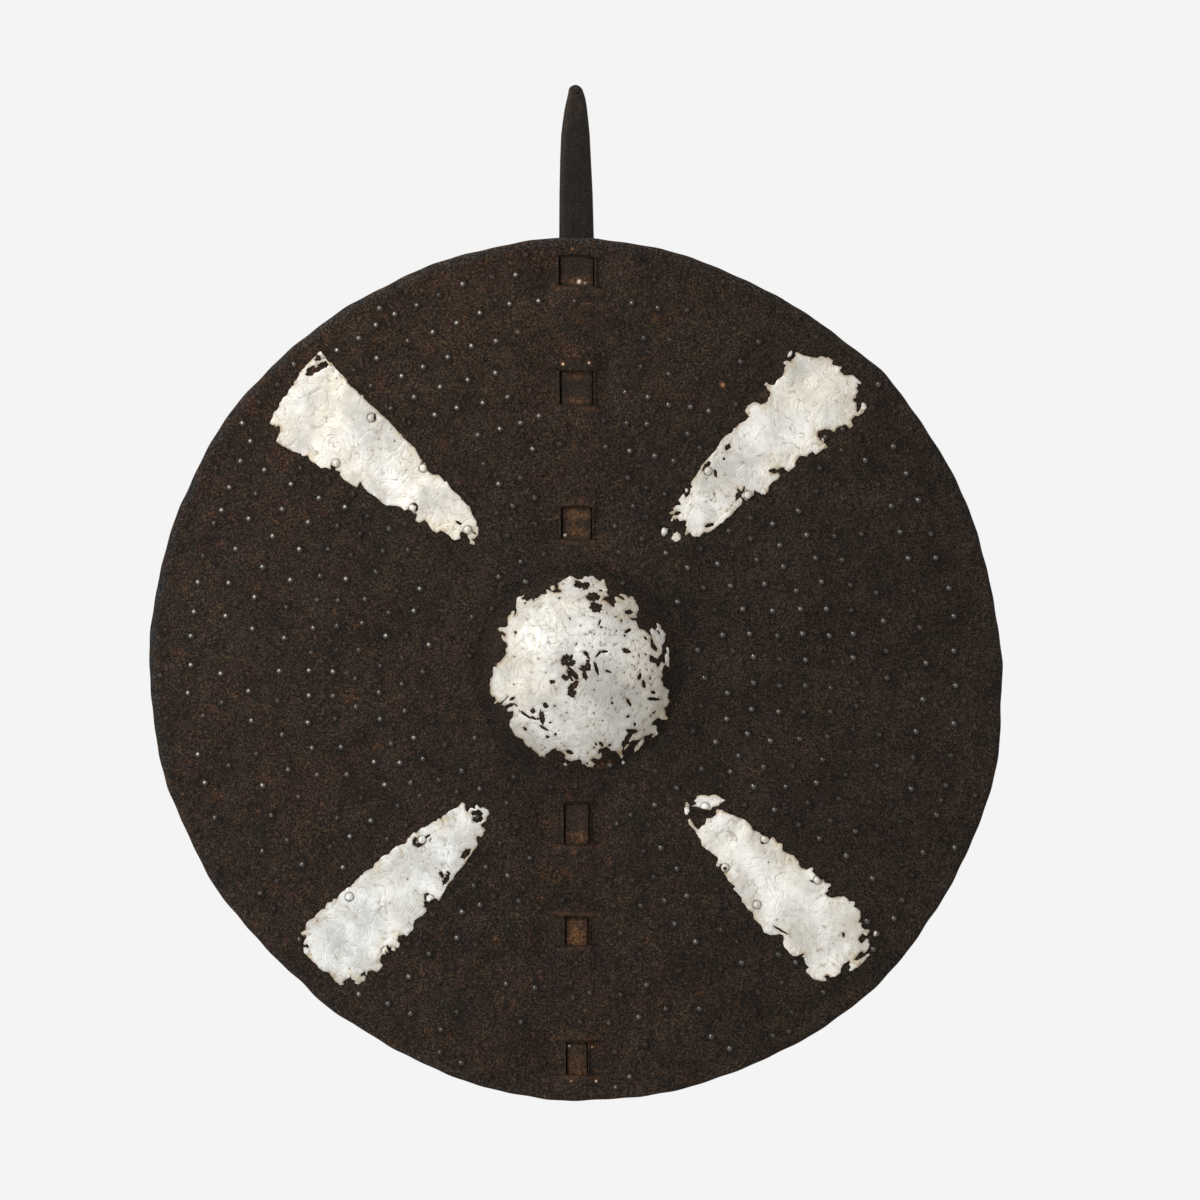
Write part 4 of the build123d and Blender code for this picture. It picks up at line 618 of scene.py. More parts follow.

# Small spots by the slits, on the sheet and on the staff: x, z, radius and what they are
# (1.5 to 2 a painted highlight, a near-white glint; about 1 a tan rubbed spot; -1 a hole painted near-black as
# shade). The staff's are all painted highlights.
SHEET_SPOTS_AND_PAINTED_LIGHT = [
    (-9.9, 215.4, 1.5, 2), (8.4, 216.3, 1.3, 2), (-4.2, -289.4, 1.2, 1.6), (13.4, -289.6, 1.3, 2),
    (-9.9, 293.6, 1.4, -1), (102.8, 200.6, 2.6, 1.45), (-3.2, 296.5, 1.8, 1.2), (6.8, 258.0, 3.2, 1.0),
    (10.6, -265.6, 1.4, 1.5), (17.6, -65.6, 2.6, 1.05), (12.0, -64.4, 1.6, 1.0), (23.2, -64.2, 1.8, 1.0),
    (14.6, -67.6, 1.2, 1.05), (20.4, -68.2, 1.0, 1.05),
    # Patches rubbed tan just outside the slits.
    (-3.2, 119.8, 2.8, 0.85), (2.8, 119.4, 3.0, 0.88), (0.4, -165.2, 2.4, 0.88), (4.6, -166.4, 2.2, 0.84),
    (-4.4, -256.6, 2.2, 0.84), (0.2, -257.0, 2.6, 0.90), (4.8, -257.2, 2.2, 0.84), (-1.4, -128.6, 3.0, 0.80),
]
# The staff's spots are painted highlights, pale glints.
STAFF_GLINTS = [(1.4, 273.6, 1.9, 2), (5.6, 272.4, 1.8, 1.3), (-8.6, 94.9, 1.6, 1.8), (-5.6, -265.2, 1.2, 1.8)]
# How the staff is rubbed in each window: x, z, half width, half height, amount.
STAFF_RUBS = [
    (2.0, 273.0, 7.0, 3.0, 0.9), (-1.0, 208.0, 8.0, 3.0, 0.35), (1.0, 189.5, 9.0, 2.5, 0.45),
    (0.5, 109.5, 8.5, 3.2, 0.72), (0.0, 96.5, 8.0, 3.2, 0.6), (0.5, 103.0, 3.0, 4.5, 0.5),
    (0.0, -116.0, 7.0, 2.6, 0.6), (0.5, -119.2, 9.0, 2.2, 0.8),
    (0.0, -184.0, 7.0, 7.5, 0.72), (-1.5, -190.0, 7.0, 4.0, 0.85),
    (0.0, -106.0, 8.0, 7.0, 0.14), (0.0, -273.0, 8.0, 9.0, 0.30), (0.5, -283.4, 8.0, 2.6, 0.85), (3.0, -279.5, 4.0, 2.4, 0.35),
]


def window_dip(x, z):
    """How far the sheet is drawn back to the staff round the windows."""
    out = np.zeros_like(x, dtype=float)
    for k in range(0, 12, 2):
        up, lo = SLITS[k], SLITS[k + 1]
        past = np.maximum(np.maximum(z - slit_z(up, x), slit_z(lo, x) - z), 0)
        near = (1 - smooth(0.5, 15, past)) * (1 - smooth(19, 44, np.abs(x)))
        beside = smooth(1.5, 6.0, np.abs(x) - staff_half(up[0]))
        within = smooth(0.2, 2.4, np.minimum(slit_z(up, x) - z, z - slit_z(lo, x)))
        deep = np.maximum(beside, within)
        out = np.maximum(out, near * (2.3 + 1.4 * deep + 0.8 * within * (1 - smooth(17, 30, np.abs(x)))))
    return out


def base_y(x, z):
    """Front face of the hide, without studs or lips."""
    r0 = BEND_R
    fall = r0 - np.sqrt(r0 * r0 - x * x)
    r = np.hypot(x - BOSS_X, z - BOSS_Z)
    cap = BOSS_Y - np.sqrt(np.clip(BOSS_R**2 - np.minimum(r, BOSS_R) ** 2, 0, None))
    foot = FRONT_Y - FOOT_R + np.sqrt(np.clip(FOOT_R**2 - (FOOT_OUT - r) ** 2, 0, None))
    y = np.where(r < FOOT_IN, cap, np.where(r < FOOT_OUT, foot, FRONT_Y))
    y = y + fall * smooth(45, 76, r) + window_dip(x, z)
    # A pressed groove round the foot, and the swell outside it.
    y = y + 0.55 * np.exp(-(((r - 73.0) / 2.6) ** 2)) - 0.35 * np.exp(-(((r - 81.0) / 4.0) ** 2))
    # The hide isn't flat: long swells that grow away from the staff.
    away = smooth(20, 120, np.abs(x)) * smooth(70, 130, np.hypot(x, z))
    y = y + away * 1.5 * waves("swell", x, z, 190, 2, 3)
    y = y + (0.25 + 0.35 * away) * waves("cockle", x, z, 38, 3, 5) * smooth(66, 90, r)
    y = y + 0.10 * waves("pucker", x, z, 11, 2, 8)
    # The boss isn't a perfect cap.
    y = y + 0.5 * waves("boss", x, z, 60, 2, 9) * (1 - smooth(50, 66, r))
    return y


def stud_field(x, z):
    """How far the studs stand out, and how near the top of one a point is, with a painted highlight spot added on the
    tops of the boldest studs.
    """
    out = np.zeros_like(x)
    top = np.zeros_like(x)
    ring = np.zeros_like(x)
    step = 4000
    for i in range(0, len(x), step):
        dx = x[i : i + step, None] - STUD[None, :, 0]
        dz = z[i : i + step, None] - STUD[None, :, 1]
        d = np.hypot(dx, dz)
        t = np.clip(1 - (d / STUD_R) ** 2, 0, 1)
        h = STUD_H * t**1.35
        sunk = 0.22 * np.exp(-(((d - STUD_R - 0.8) / 1.2) ** 2))
        out[i : i + step] = h.max(1) - sunk.max(1) * (h.max(1) < 0.05)
        # Painted highlight: a pale spot set off towards the upper left of each bold stud's top.
        d2 = np.hypot(dx + 0.20 * STUD_R, dz - 0.22 * STUD_R)
        stud_glint = np.clip(1 - (d2 / (0.46 * STUD_R)) ** 2, 0, 1) * STUD_GLINT
        top[i : i + step] = (t**2.2 * STUD_GLOSS + stud_glint).max(1)
        ring[i : i + step] = np.exp(-(((d - STUD_R - 0.4) / 1.3) ** 2)).max(1)
    return out, top, ring


def lip_field(x, z, upper_only=None):
    """How far the hide stands up along the slits, on the main sheet."""
    out = np.zeros_like(x)
    for s in SLITS:
        d = (z - slit_z(s, x)) * s[5]
        u = slit_u(s, x)
        along = np.clip(1 - (u / 1.12) ** 2, 0, 1) ** 1.2
        out = np.maximum(out, np.where(d > -0.5, 0.6 * s[7] * np.exp(-((np.clip(d, 0, None) / 4.5) ** 2)) * along, 0))
    return out


def front_y(x, z):
    out, _, _ = stud_field(x, z)
    return base_y(x, z) - out - lip_field(x, z)


def inside_poly(px, pz, poly):
    poly = np.asarray(poly, float)
    x1, z1 = poly[:, 0], poly[:, 1]
    x2, z2 = np.roll(x1, -1), np.roll(z1, -1)
    hit = np.zeros(len(px), bool)
    for a, b, c, d in zip(x1, z1, x2, z2):
        if b == d:
            continue
        cross = ((b > pz) != (d > pz)) & (px < (c - a) * (pz - b) / (d - b) + a)
        hit ^= cross
    return hit


def poly_dist(px, pz, poly):
    """Distance to a closed outline."""
    poly = np.asarray(poly, float)
    best = np.full(len(px), 1e9)
    for (a, b), (c, d) in zip(poly, np.roll(poly, -1, 0)):
        ex, ez = c - a, d - b
        L = ex * ex + ez * ez + 1e-12
        t = np.clip(((px - a) * ex + (pz - b) * ez) / L, 0, 1)
        best = np.minimum(best, np.hypot(px - a - t * ex, pz - b - t * ez))
    return best


def hex_grid(x0, x1, z0, z1, step, jitter, g):
    zs = np.arange(z0, z1, step * math.sqrt(3) / 2)
    pts = []
    for k, zz in enumerate(zs):
        xs = np.arange(x0 + (step / 2 if k % 2 else 0), x1, step)
        pts.append(np.column_stack([xs, np.full_like(xs, zz)]))
    p = np.vstack(pts)
    return p + g.uniform(-jitter, jitter, p.shape)


def stud_points(keep=None):
    """Rings of points over each stud, so that its dome is in the mesh."""
    pts = []
    rings = [(0.0, 1), (0.20, 6), (0.38, 8), (0.57, 9), (0.78, 10), (1.0, 12), (1.42, 12)]
    for i, (sx, sz, _) in enumerate(STUD):
        if keep is not None and not keep[i]:
            continue
        for q, (f, n) in enumerate(rings):
            for k in range(n):
                a = 2 * math.pi * (k + 0.5 * (q % 2)) / n + i
                pts.append((sx + f * STUD_R[i] * math.cos(a), sz + f * STUD_R[i] * math.sin(a), i))
    p = np.array(pts)
    # A point nearer to another stud than to its own would break that one's rings.
    good = np.ones(len(p), bool)
    for i in range(0, len(p), 4000):
        c = p[i : i + 4000]
        d = np.hypot(c[:, None, 0] - STUD[None, :, 0], c[:, None, 1] - STUD[None, :, 1])
        own = d[np.arange(len(c)), c[:, 2].astype(int)]
        d[np.arange(len(c)), c[:, 2].astype(int)] = 1e9
        good[i : i + 4000] = own <= d.min(1) + 0.01
    return p[good][:, :2]


def far_from_studs(p, clear):
    d = np.full(len(p), 1e9)
    for i in range(0, len(p), 4000):
        c = p[i : i + 4000]
        d[i : i + 4000] = (
            np.hypot(c[:, None, 0] - STUD[None, :, 0], c[:, None, 1] - STUD[None, :, 1]) / STUD_R
        ).min(1)
    return d > clear


def triangulate(points, edges):
    v, _, f, orig, _, _ = delaunay_2d_cdt(
        [Vector((float(a), float(b))) for a, b in points], edges, [], 0, 1e-4, True
    )
    v = np.array([(q[0], q[1]) for q in v])
    return v, np.array([t for t in f if len(t) == 3], int), orig


def make_sheet(name, v2, tri, front, back, bulge, layers=None):
    """A closed solid from two skins on one triangulation: front and back are
    (n, 3) arrays in mm, and bulge is how far the edge between them swells."""
    # The front faces -Y.
    a, b, c = (v2[tri[:, k]] for k in range(3))
    area = (b[:, 0] - a[:, 0]) * (c[:, 1] - a[:, 1]) - (b[:, 1] - a[:, 1]) * (c[:, 0] - a[:, 0])
    tri = np.where(area[:, None] > 0, tri, tri[:, ::-1])
    used = np.unique(tri)
    remap = np.full(len(v2), -1)
    remap[used] = np.arange(len(used))
    tri = remap[tri]
    front, back, v2 = front[used], back[used], v2[used]
    n = len(used)
    und, count = {}, {}
    e = np.vstack([tri[:, [0, 1]], tri[:, [1, 2]], tri[:, [2, 0]]])
    key = np.sort(e, 1)
    code = key[:, 0].astype(np.int64) * n + key[:, 1]
    uq, first, cnt = np.unique(code, return_index=True, return_counts=True)
    border = e[first[cnt == 1]]
    # Outward direction at each border point, in the sheet's plane.
    out = np.zeros((n, 2))
    d = v2[border[:, 1]] - v2[border[:, 0]]
    nrm = np.column_stack([d[:, 1], -d[:, 0]])
    nrm /= np.maximum(np.linalg.norm(nrm, axis=1, keepdims=True), 1e-9)
    np.add.at(out, border[:, 0], nrm)
    np.add.at(out, border[:, 1], nrm)
    L = np.linalg.norm(out, axis=1, keepdims=True)
    out = np.where(L > 1e-6, out / np.maximum(L, 1e-9), 0)
    bp = np.unique(border)
    ring_id = {int(k): i for i, k in enumerate(bp)}
    rows = []
    for t in (1 / 3, 2 / 3):
        p = front[bp] * (1 - t) + back[bp] * t
        b2 = bulge if np.isscalar(bulge) else bulge[used][bp]
        p = p + np.column_stack([out[bp, 0], np.zeros(len(bp)), out[bp, 1]]) * (
            np.sin(math.pi * t) * np.reshape(b2, (-1, 1) if not np.isscalar(b2) else ())
        )
        rows.append(p)
    verts = np.vstack([front, back] + rows)
    faces = [tuple(map(int, t)) for t in tri]
    faces += [tuple(map(int, t[::-1] + n)) for t in tri]
    m = len(bp)
    for i, j in border:
        i, j = int(i), int(j)
        ri, rj = ring_id[i], ring_id[j]
        chain_i = [i, 2 * n + ri, 2 * n + m + ri, n + i]
        chain_j = [j, 2 * n + rj, 2 * n + m + rj, n + j]
        for q in range(3):
            faces.append((chain_j[q], chain_i[q], chain_i[q + 1], chain_j[q + 1]))
    me = bpy.data.meshes.new(name)
    me.from_pydata([tuple(p) for p in verts * MM], [], faces)
    me.update()
    me.polygons.foreach_set("use_smooth", [True] * len(me.polygons))
    if layers:
        for lname, val in layers.items():
            col = me.color_attributes.new(lname, "FLOAT_COLOR", "POINT")
            val = val[used]
            full = np.vstack([val, val] + [val[bp]] * 2)
            # On the cut edge the last channel tells how raw it is.
            flat = np.column_stack([full, np.zeros(len(full))])
            flat[:n, 3] = 0.0
            flat[n : 2 * n, 3] = 0.5
            flat[2 * n :, 3] = 1.0
            col.data.foreach_set("color", flat.astype(np.float32).ravel())
    ob = bpy.data.objects.new(name, me)
    bpy.context.scene.collection.objects.link(ob)
    return ob


# ------------------------------------------------------------------- hide disc
def build_hide():
    g = np.random.default_rng(7)
    pts, edges = [], []

    def add_loop(loop, closed=True):
        s = sum(len(q) for q in pts)
        pts.append(np.asarray(loop))
        k = len(loop)
        for i in range(k if closed else k - 1):
            edges.append((s + i, s + (i + 1) % k))
        return s

    # Rim.
    n = 760
    th = np.linspace(0, 2 * math.pi, n + 1)[:-1]
    rr = rim(th)
    add_loop(np.column_stack([rr * np.cos(th), rr * np.sin(th)]))
    for inset, m in ((0.7, n), (1.7, n), (3.0, n // 2), (5.0, n // 2)):
        t = np.linspace(0, 2 * math.pi, m + 1)[:-1] + inset * 0.01
        q = rim(t) - inset
        pts.append(np.column_stack([q * np.cos(t), q * np.sin(t)]))

    # Slits, as cuts along a line, with rows of points each side.
    slit_rows = []
    for k, s in enumerate(SLITS):
        top_z = SLITS[k - k % 2][0]
        xs = np.linspace(-s[1], s[2], 45)
        steps = np.array([0.0, 0.10, 0.20, 0.32, 0.8])
        steps = np.r_[-(staff_half(top_z) + 0.06 + steps), staff_right(top_z) + 0.06 + steps]
        xs = xs[np.abs(xs[:, None] - steps).min(1) > 0.26]
        xs = np.sort(np.r_[xs, steps[(steps > -s[1] + 0.3) & (steps < s[2] - 0.3)]])
        start = add_loop(np.column_stack([xs, slit_z(s, xs)]), closed=False)
        slit_rows.append((start, len(xs)))
        for off in (0.6, 1.5, 2.8, 4.4):
            for sign in (s[5],):
                x2 = np.linspace(-s[1] - 2.0, s[2] + 2.0, 37)
                pts.append(np.column_stack([x2, slit_z(s, x2) + sign * off]))

    # The strips between the slits of each pair.
    for k in range(0, 12, 2):
        up, lo = SLITS[k], SLITS[k + 1]
        steps = np.array([0.0, 0.10, 0.20, 0.32, 0.8])
        steps = np.r_[-(staff_half(up[0]) + 0.06 + steps), staff_right(up[0]) + 0.06 + steps]
        cols = np.arange(-18.4, 18.5, 0.8)
        cols = np.r_[cols[np.abs(cols[:, None] - steps).min(1) > 0.32], steps]
        for x in cols:
            a, b = slit_z(lo, np.array(x)) + 0.7, slit_z(up, np.array(x)) - 0.6
            zs = np.linspace(a, b, 15)
            pts.append(np.column_stack([np.full(15, x), zs]))

    # The boss, in rings.
    for r in np.concatenate([np.arange(3.2, 62.0, 3.2), np.arange(63.5, 79, 1.6), [81.5, 84.5]]):
        m = max(8, int(2 * math.pi * r / 3.4))
        t = np.linspace(0, 2 * math.pi, m + 1)[:-1] + r
        pts.append(np.column_stack([BOSS_X + r * np.cos(t), BOSS_Z + r * np.sin(t)]))
    sp = stud_points()
    ok = np.hypot(sp[:, 0], sp[:, 1]) < rim(np.arctan2(sp[:, 1], sp[:, 0])) - 5.4
    pts.append(sp[ok])

    for sx, sz, sr, _ in SHEET_SPOTS_AND_PAINTED_LIGHT:
        for f, m in ((0, 1), (0.4, 6), (0.8, 9), (1.25, 11)):
            a = np.linspace(0, 2 * math.pi, m + 1)[:-1] + f
            pts.append(np.column_stack([sx + f * sr * np.cos(a), sz + f * sr * np.sin(a)]))

    # The rest of the sheet.
    p = hex_grid(-312, 312, -312, 312, 4.1, 0.5, g)
    r = np.hypot(p[:, 0], p[:, 1])
    keep = (r < rim(np.arctan2(p[:, 1], p[:, 0])) - 7.0) & far_from_studs(p, 1.85)
    keep &= np.hypot(p[:, 0] - BOSS_X, p[:, 1] - BOSS_Z) > 86.5
    for k in range(0, 12, 2):
        up, lo = SLITS[k], SLITS[k + 1]
        keep &= ~((np.abs(p[:, 0]) < 20.5) & (p[:, 1] < up[0] + 6.5) & (p[:, 1] > lo[0] - 6.5))
    pts.append(p[keep])
    P = np.vstack(pts)
    v, tri, orig = triangulate(P, edges)
    c = v[tri].mean(1)
    inside = np.hypot(c[:, 0], c[:, 1]) < rim(np.arctan2(c[:, 1], c[:, 0])) + 0.02
    tri = tri[inside]

    # Which original point each vertex came from, to find the slit lines again.
    where = np.full(len(P), -1)
    for i, o in enumerate(orig):
        for k in o:
            where[k] = i
    side_main = np.zeros(len(v))            # +1 on the main sheet's cut edge
    side_strip = np.zeros(len(v))
    which = np.full(len(v), -1)
    newv = [v]
    total = len(v)
    extra_main, extra_which = [], []
    for k, s in enumerate(SLITS):
        start, m = slit_rows[k]
        ids = [int(where[start + i]) for i in range(1, m - 1)]
        dup = {}
        for i in ids:
            dup[i] = total
            total += 1
        newv.append(v[ids])
        extra_which += [k] * len(ids)
        # Triangles on the strip's side take the copies.
        touch = np.isin(tri, ids).any(1)
        cc = np.vstack(newv)[tri[touch]].mean(1) if False else v[np.clip(tri[touch], 0, len(v) - 1)].mean(1)
        rel = (cc[:, 1] - slit_z(s, cc[:, 0])) * s[5]
        rows = np.nonzero(touch)[0][rel < 0]
        for row in rows:
            tri[row] = [dup.get(int(q), int(q)) for q in tri[row]]
        side_main[ids] = 1
        which[ids] = k
    v = np.vstack(newv)
    side_strip = np.r_[side_strip, np.ones(total - len(side_strip))]
    side_main = np.r_[side_main, np.zeros(total - len(side_main))]
    which = np.r_[which, np.array(extra_which)]

    x, z = v[:, 0].copy(), v[:, 1].copy()
    bump, top, ring = stud_field(x, z)
    base = base_y(x, z)

    # The strips, pushed back behind the staff.
    push = np.zeros(len(x))
    strip = np.zeros(len(x))
    for k in range(0, 12, 2):
        up, lo = SLITS[k], SLITS[k + 1]
        in_z = (z < slit_z(up, x) + 1e-3) & (z > slit_z(lo, x) - 1e-3)
        mine = (which == k) | (which == k + 1)
        zone = in_z & ~(mine & (side_main > 0)) & (np.abs(x) < 30)
        f = np.clip((z - lo[0]) / (up[0] - lo[0]), 0, 1)
        left = -(up[1] * f + lo[1] * (1 - f))
        right = up[2] * f + lo[2] * (1 - f)
        in_l, in_r = staff_half(up[0]) + 0.06, staff_right(up[0]) + 0.06
        # The strip falls steeply beside the staff, and lies flat behind it.
        near_end = np.where(x < 0, np.maximum(left, -in_l - 0.32), np.minimum(right, in_r + 0.32))
        t = np.where(x < 0, (x - near_end) / (-in_l - near_end), (near_end - x) / (near_end - in_r))
        t = np.clip(t, 0, 1)
        pr = np.where(t < 0.5, 2 * t * t, 1 - 2 * (1 - t) ** 2)
        push = np.where(zone, (STAFF_T / 2 + PLAY + 0.35 - base) * pr, push)
        strip = np.where(zone, np.maximum(strip, t), strip)
    lips = lip_field(x, z) * (strip <= 0)

    # Distance to the nearest edge of the sheet, for rounding it.
    th = np.arctan2(z, x)
    d_rim = rim(th) - np.hypot(x, z)
    d_slit = np.full(len(x), 99.0)
    wear_and_glint = np.zeros(len(x))
    for k, s in enumerate(SLITS):
        u = slit_u(s, x)
        dd = np.abs(z - slit_z(s, x)) + np.clip(np.abs(u) - 1, 0, None) * 16
        d_slit = np.minimum(d_slit, dd)
        main = (z - slit_z(s, x)) * s[5] > -0.3
        w = s[8] * np.exp(-((dd / 4.2) ** 2)) * np.where(main, 1.0, 0.35)
        wear_and_glint = np.maximum(wear_and_glint, w)
    d_edge = np.minimum(d_rim, d_slit)
    near = np.clip(1 - d_edge / 2.8, 0, 1)
    roll = 1.15 * (1 - np.sqrt(np.clip(1 - near**2, 0, 1)))
    bead = 0.5 * np.exp(-(((d_rim - 5.5) / 3.4) ** 2)) - 0.25 * np.exp(-(((d_rim - 12) / 5.0) ** 2))

    yf = base - bump * (strip <= 0) - lips + push + roll - bead
    # The back face: the sheet's thickness behind, dimpled where a stud is
    # pressed out, and a hollow cap behind the boss.
    r = np.hypot(x - BOSS_X, z - BOSS_Z)
    flat_back = base + HIDE_T
    cap_back = BOSS_Y - np.sqrt(np.clip((BOSS_R - HIDE_T) ** 2 - np.minimum(r, 80) ** 2, 1, None))
    k = 5.0
    h = np.clip(0.5 + 0.5 * (flat_back - cap_back) / k, 0, 1)
    hollow = flat_back * (1 - h) + cap_back * h - k * h * (1 - h)
    yb = np.where(r < 84, hollow, flat_back)
    yb = yb - 0.55 * bump * (strip <= 0) - lips * 0.9 + push - 0.8 * (1 - np.sqrt(np.clip(1 - near**2, 0, 1)))
    yb = yb - 0.5 * smooth(0.2, 0.8, strip)
    yb = yb + 0.22 * waves("flesh", x, z, 17, 3, 12)
    # Never nearer to the staff than its play, where the staff runs.
    zone = (np.abs(x) < staff_half(z) + 1.2) & (z > -300) & (strip <= 0) & (r > 60)
    yb = np.where(zone, np.minimum(yb, -STAFF_T / 2 - 0.32), yb)
    yf = np.where(zone, np.minimum(yf, yb - 2.1), yf)

    # The cut edge shows: the front corner of each lip draws back from the slit.
    zf, zb = z.copy(), z.copy()
    for k, s in enumerate(SLITS):
        m = (which == k) & (side_main > 0)
        u = slit_u(s, x[m])
        half = np.where(x[m] < 0, staff_half(s[0]), staff_right(s[0]))
        w = (0.25 + 0.42 * s[6]) * np.clip(1 - np.abs(u) ** 2.6, 0, 1) * (1 - smooth(half - 1.4, half - 0.3, np.abs(x[m])))
        w = w * (1 + 0.18 * np.sin(x[m] * 0.9 + k) + 0.12 * np.sin(x[m] * 2.3 + 2 * k))
        zf[m] += s[5] * w
        zb[m] += s[5] * np.minimum(w, 0.35)
        m = (which == k) & (side_strip > 0)
        u = slit_u(s, x[m])
        half = np.where(x[m] < 0, staff_half(s[0]), staff_right(s[0]))
        gap = 0.30 * np.clip(1 - np.abs(u) ** 2.6, 0, 1) * (1 - smooth(half - 1.4, half - 0.3, np.abs(x[m])))
        zf[m] -= s[5] * gap
        zb[m] -= s[5] * gap

    front = np.column_stack([x, yf, zf])
    back = np.column_stack([x, yb, zb])
    # Painted shade: darker in a ring round each stud, along the slits, on the strips beside the staff and round the
    # foot of the boss.
    crevice_shade = np.maximum(0.45 * ring, np.clip(1 - np.abs(d_slit) / 1.3, 0, 1) * 0.9)
    crevice_shade = np.maximum(crevice_shade, 0.5 * smooth(0.85, 1.0, strip))
    crevice_shade = np.maximum(crevice_shade, 0.6 * np.exp(-(((r - 71.0) / 5.0) ** 2)))
    # The spots: a hole painted near-black as shade, tan rubbed spots, and near-white painted highlights.
    for sx, sz, sr, kind in SHEET_SPOTS_AND_PAINTED_LIGHT:
        w = np.exp(-((np.hypot(x - sx, z - sz) / sr) ** 2)) * (strip < 0.5)
        if kind < 0:
            crevice_shade = np.maximum(crevice_shade, 1.4 * w)
        else:
            wear_and_glint = np.maximum(wear_and_glint, kind * w)
            crevice_shade = crevice_shade * (1 - w)
    # Below zero, the same channel marks the band along the rim.
    wear_and_glint = np.where(wear_and_glint < 0.03, -np.exp(-((d_rim / 5.2) ** 2)), wear_and_glint)
    layer = np.column_stack([top, wear_and_glint, crevice_shade])
    bulge = 0.55
    ob = make_sheet("hide_skin", np.column_stack([x, z]), tri, front, back, bulge, {"wear_and_painted_light": layer})
    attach(ob, "disc")
    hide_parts("hide_disc")
    return ob


# ------------------------------------------------------------------ metal leaf
def ragged(poly, seed, step=1.5, rough=0.16):
    """The outline with small tears and notches between its points."""
    g = np.random.default_rng(seed)
    out = []
    m = len(poly)
    for i in range(m):
        a, b = np.array(poly[i], float), np.array(poly[(i + 1) % m], float)
        L = np.linalg.norm(b - a)
        k = max(1, int(round(L / step)))
        nrm = np.array([b[1] - a[1], a[0] - b[0]]) / max(L, 1e-6)
        wander = g.normal(0, rough, k)
        for j in range(k):
            t = j / k
            off = 0.0 if j == 0 else wander[j] * min(1.0, L / 6)
            if g.random() < 0.05 and j:
                off += g.uniform(-0.6, 0.5)
            out.append(a + (b - a) * t + nrm * off)
    return np.array(out)


def tear_outline(t, seed):
    cx, cz, a, b, turn = t
    g = np.random.default_rng(seed)
    m = max(7, min(26, int(2 * math.pi * max(a, b) / 1.0)))
    ca, sa = math.cos(math.radians(turn)), math.sin(math.radians(turn))
    pts = []
    for k in range(m):
        th = 2 * math.pi * k / m
        f = 1.04 + g.uniform(-0.24, 0.26)
        u, w = a * f * math.cos(th), b * f * math.sin(th)
        pts.append((cx + u * ca - w * sa, cz + u * sa + w * ca))
    return np.array(pts)


def clean_loop(poly):
    """Drops points that crowd, so that the outline doesn't cross itself."""
    out = [poly[0]]
    for p in poly[1:]:
        if np.linalg.norm(p - out[-1]) > 0.38:
            out.append(p)
    if np.linalg.norm(out[0] - out[-1]) < 0.38:
        out.pop()
    return np.array(out)


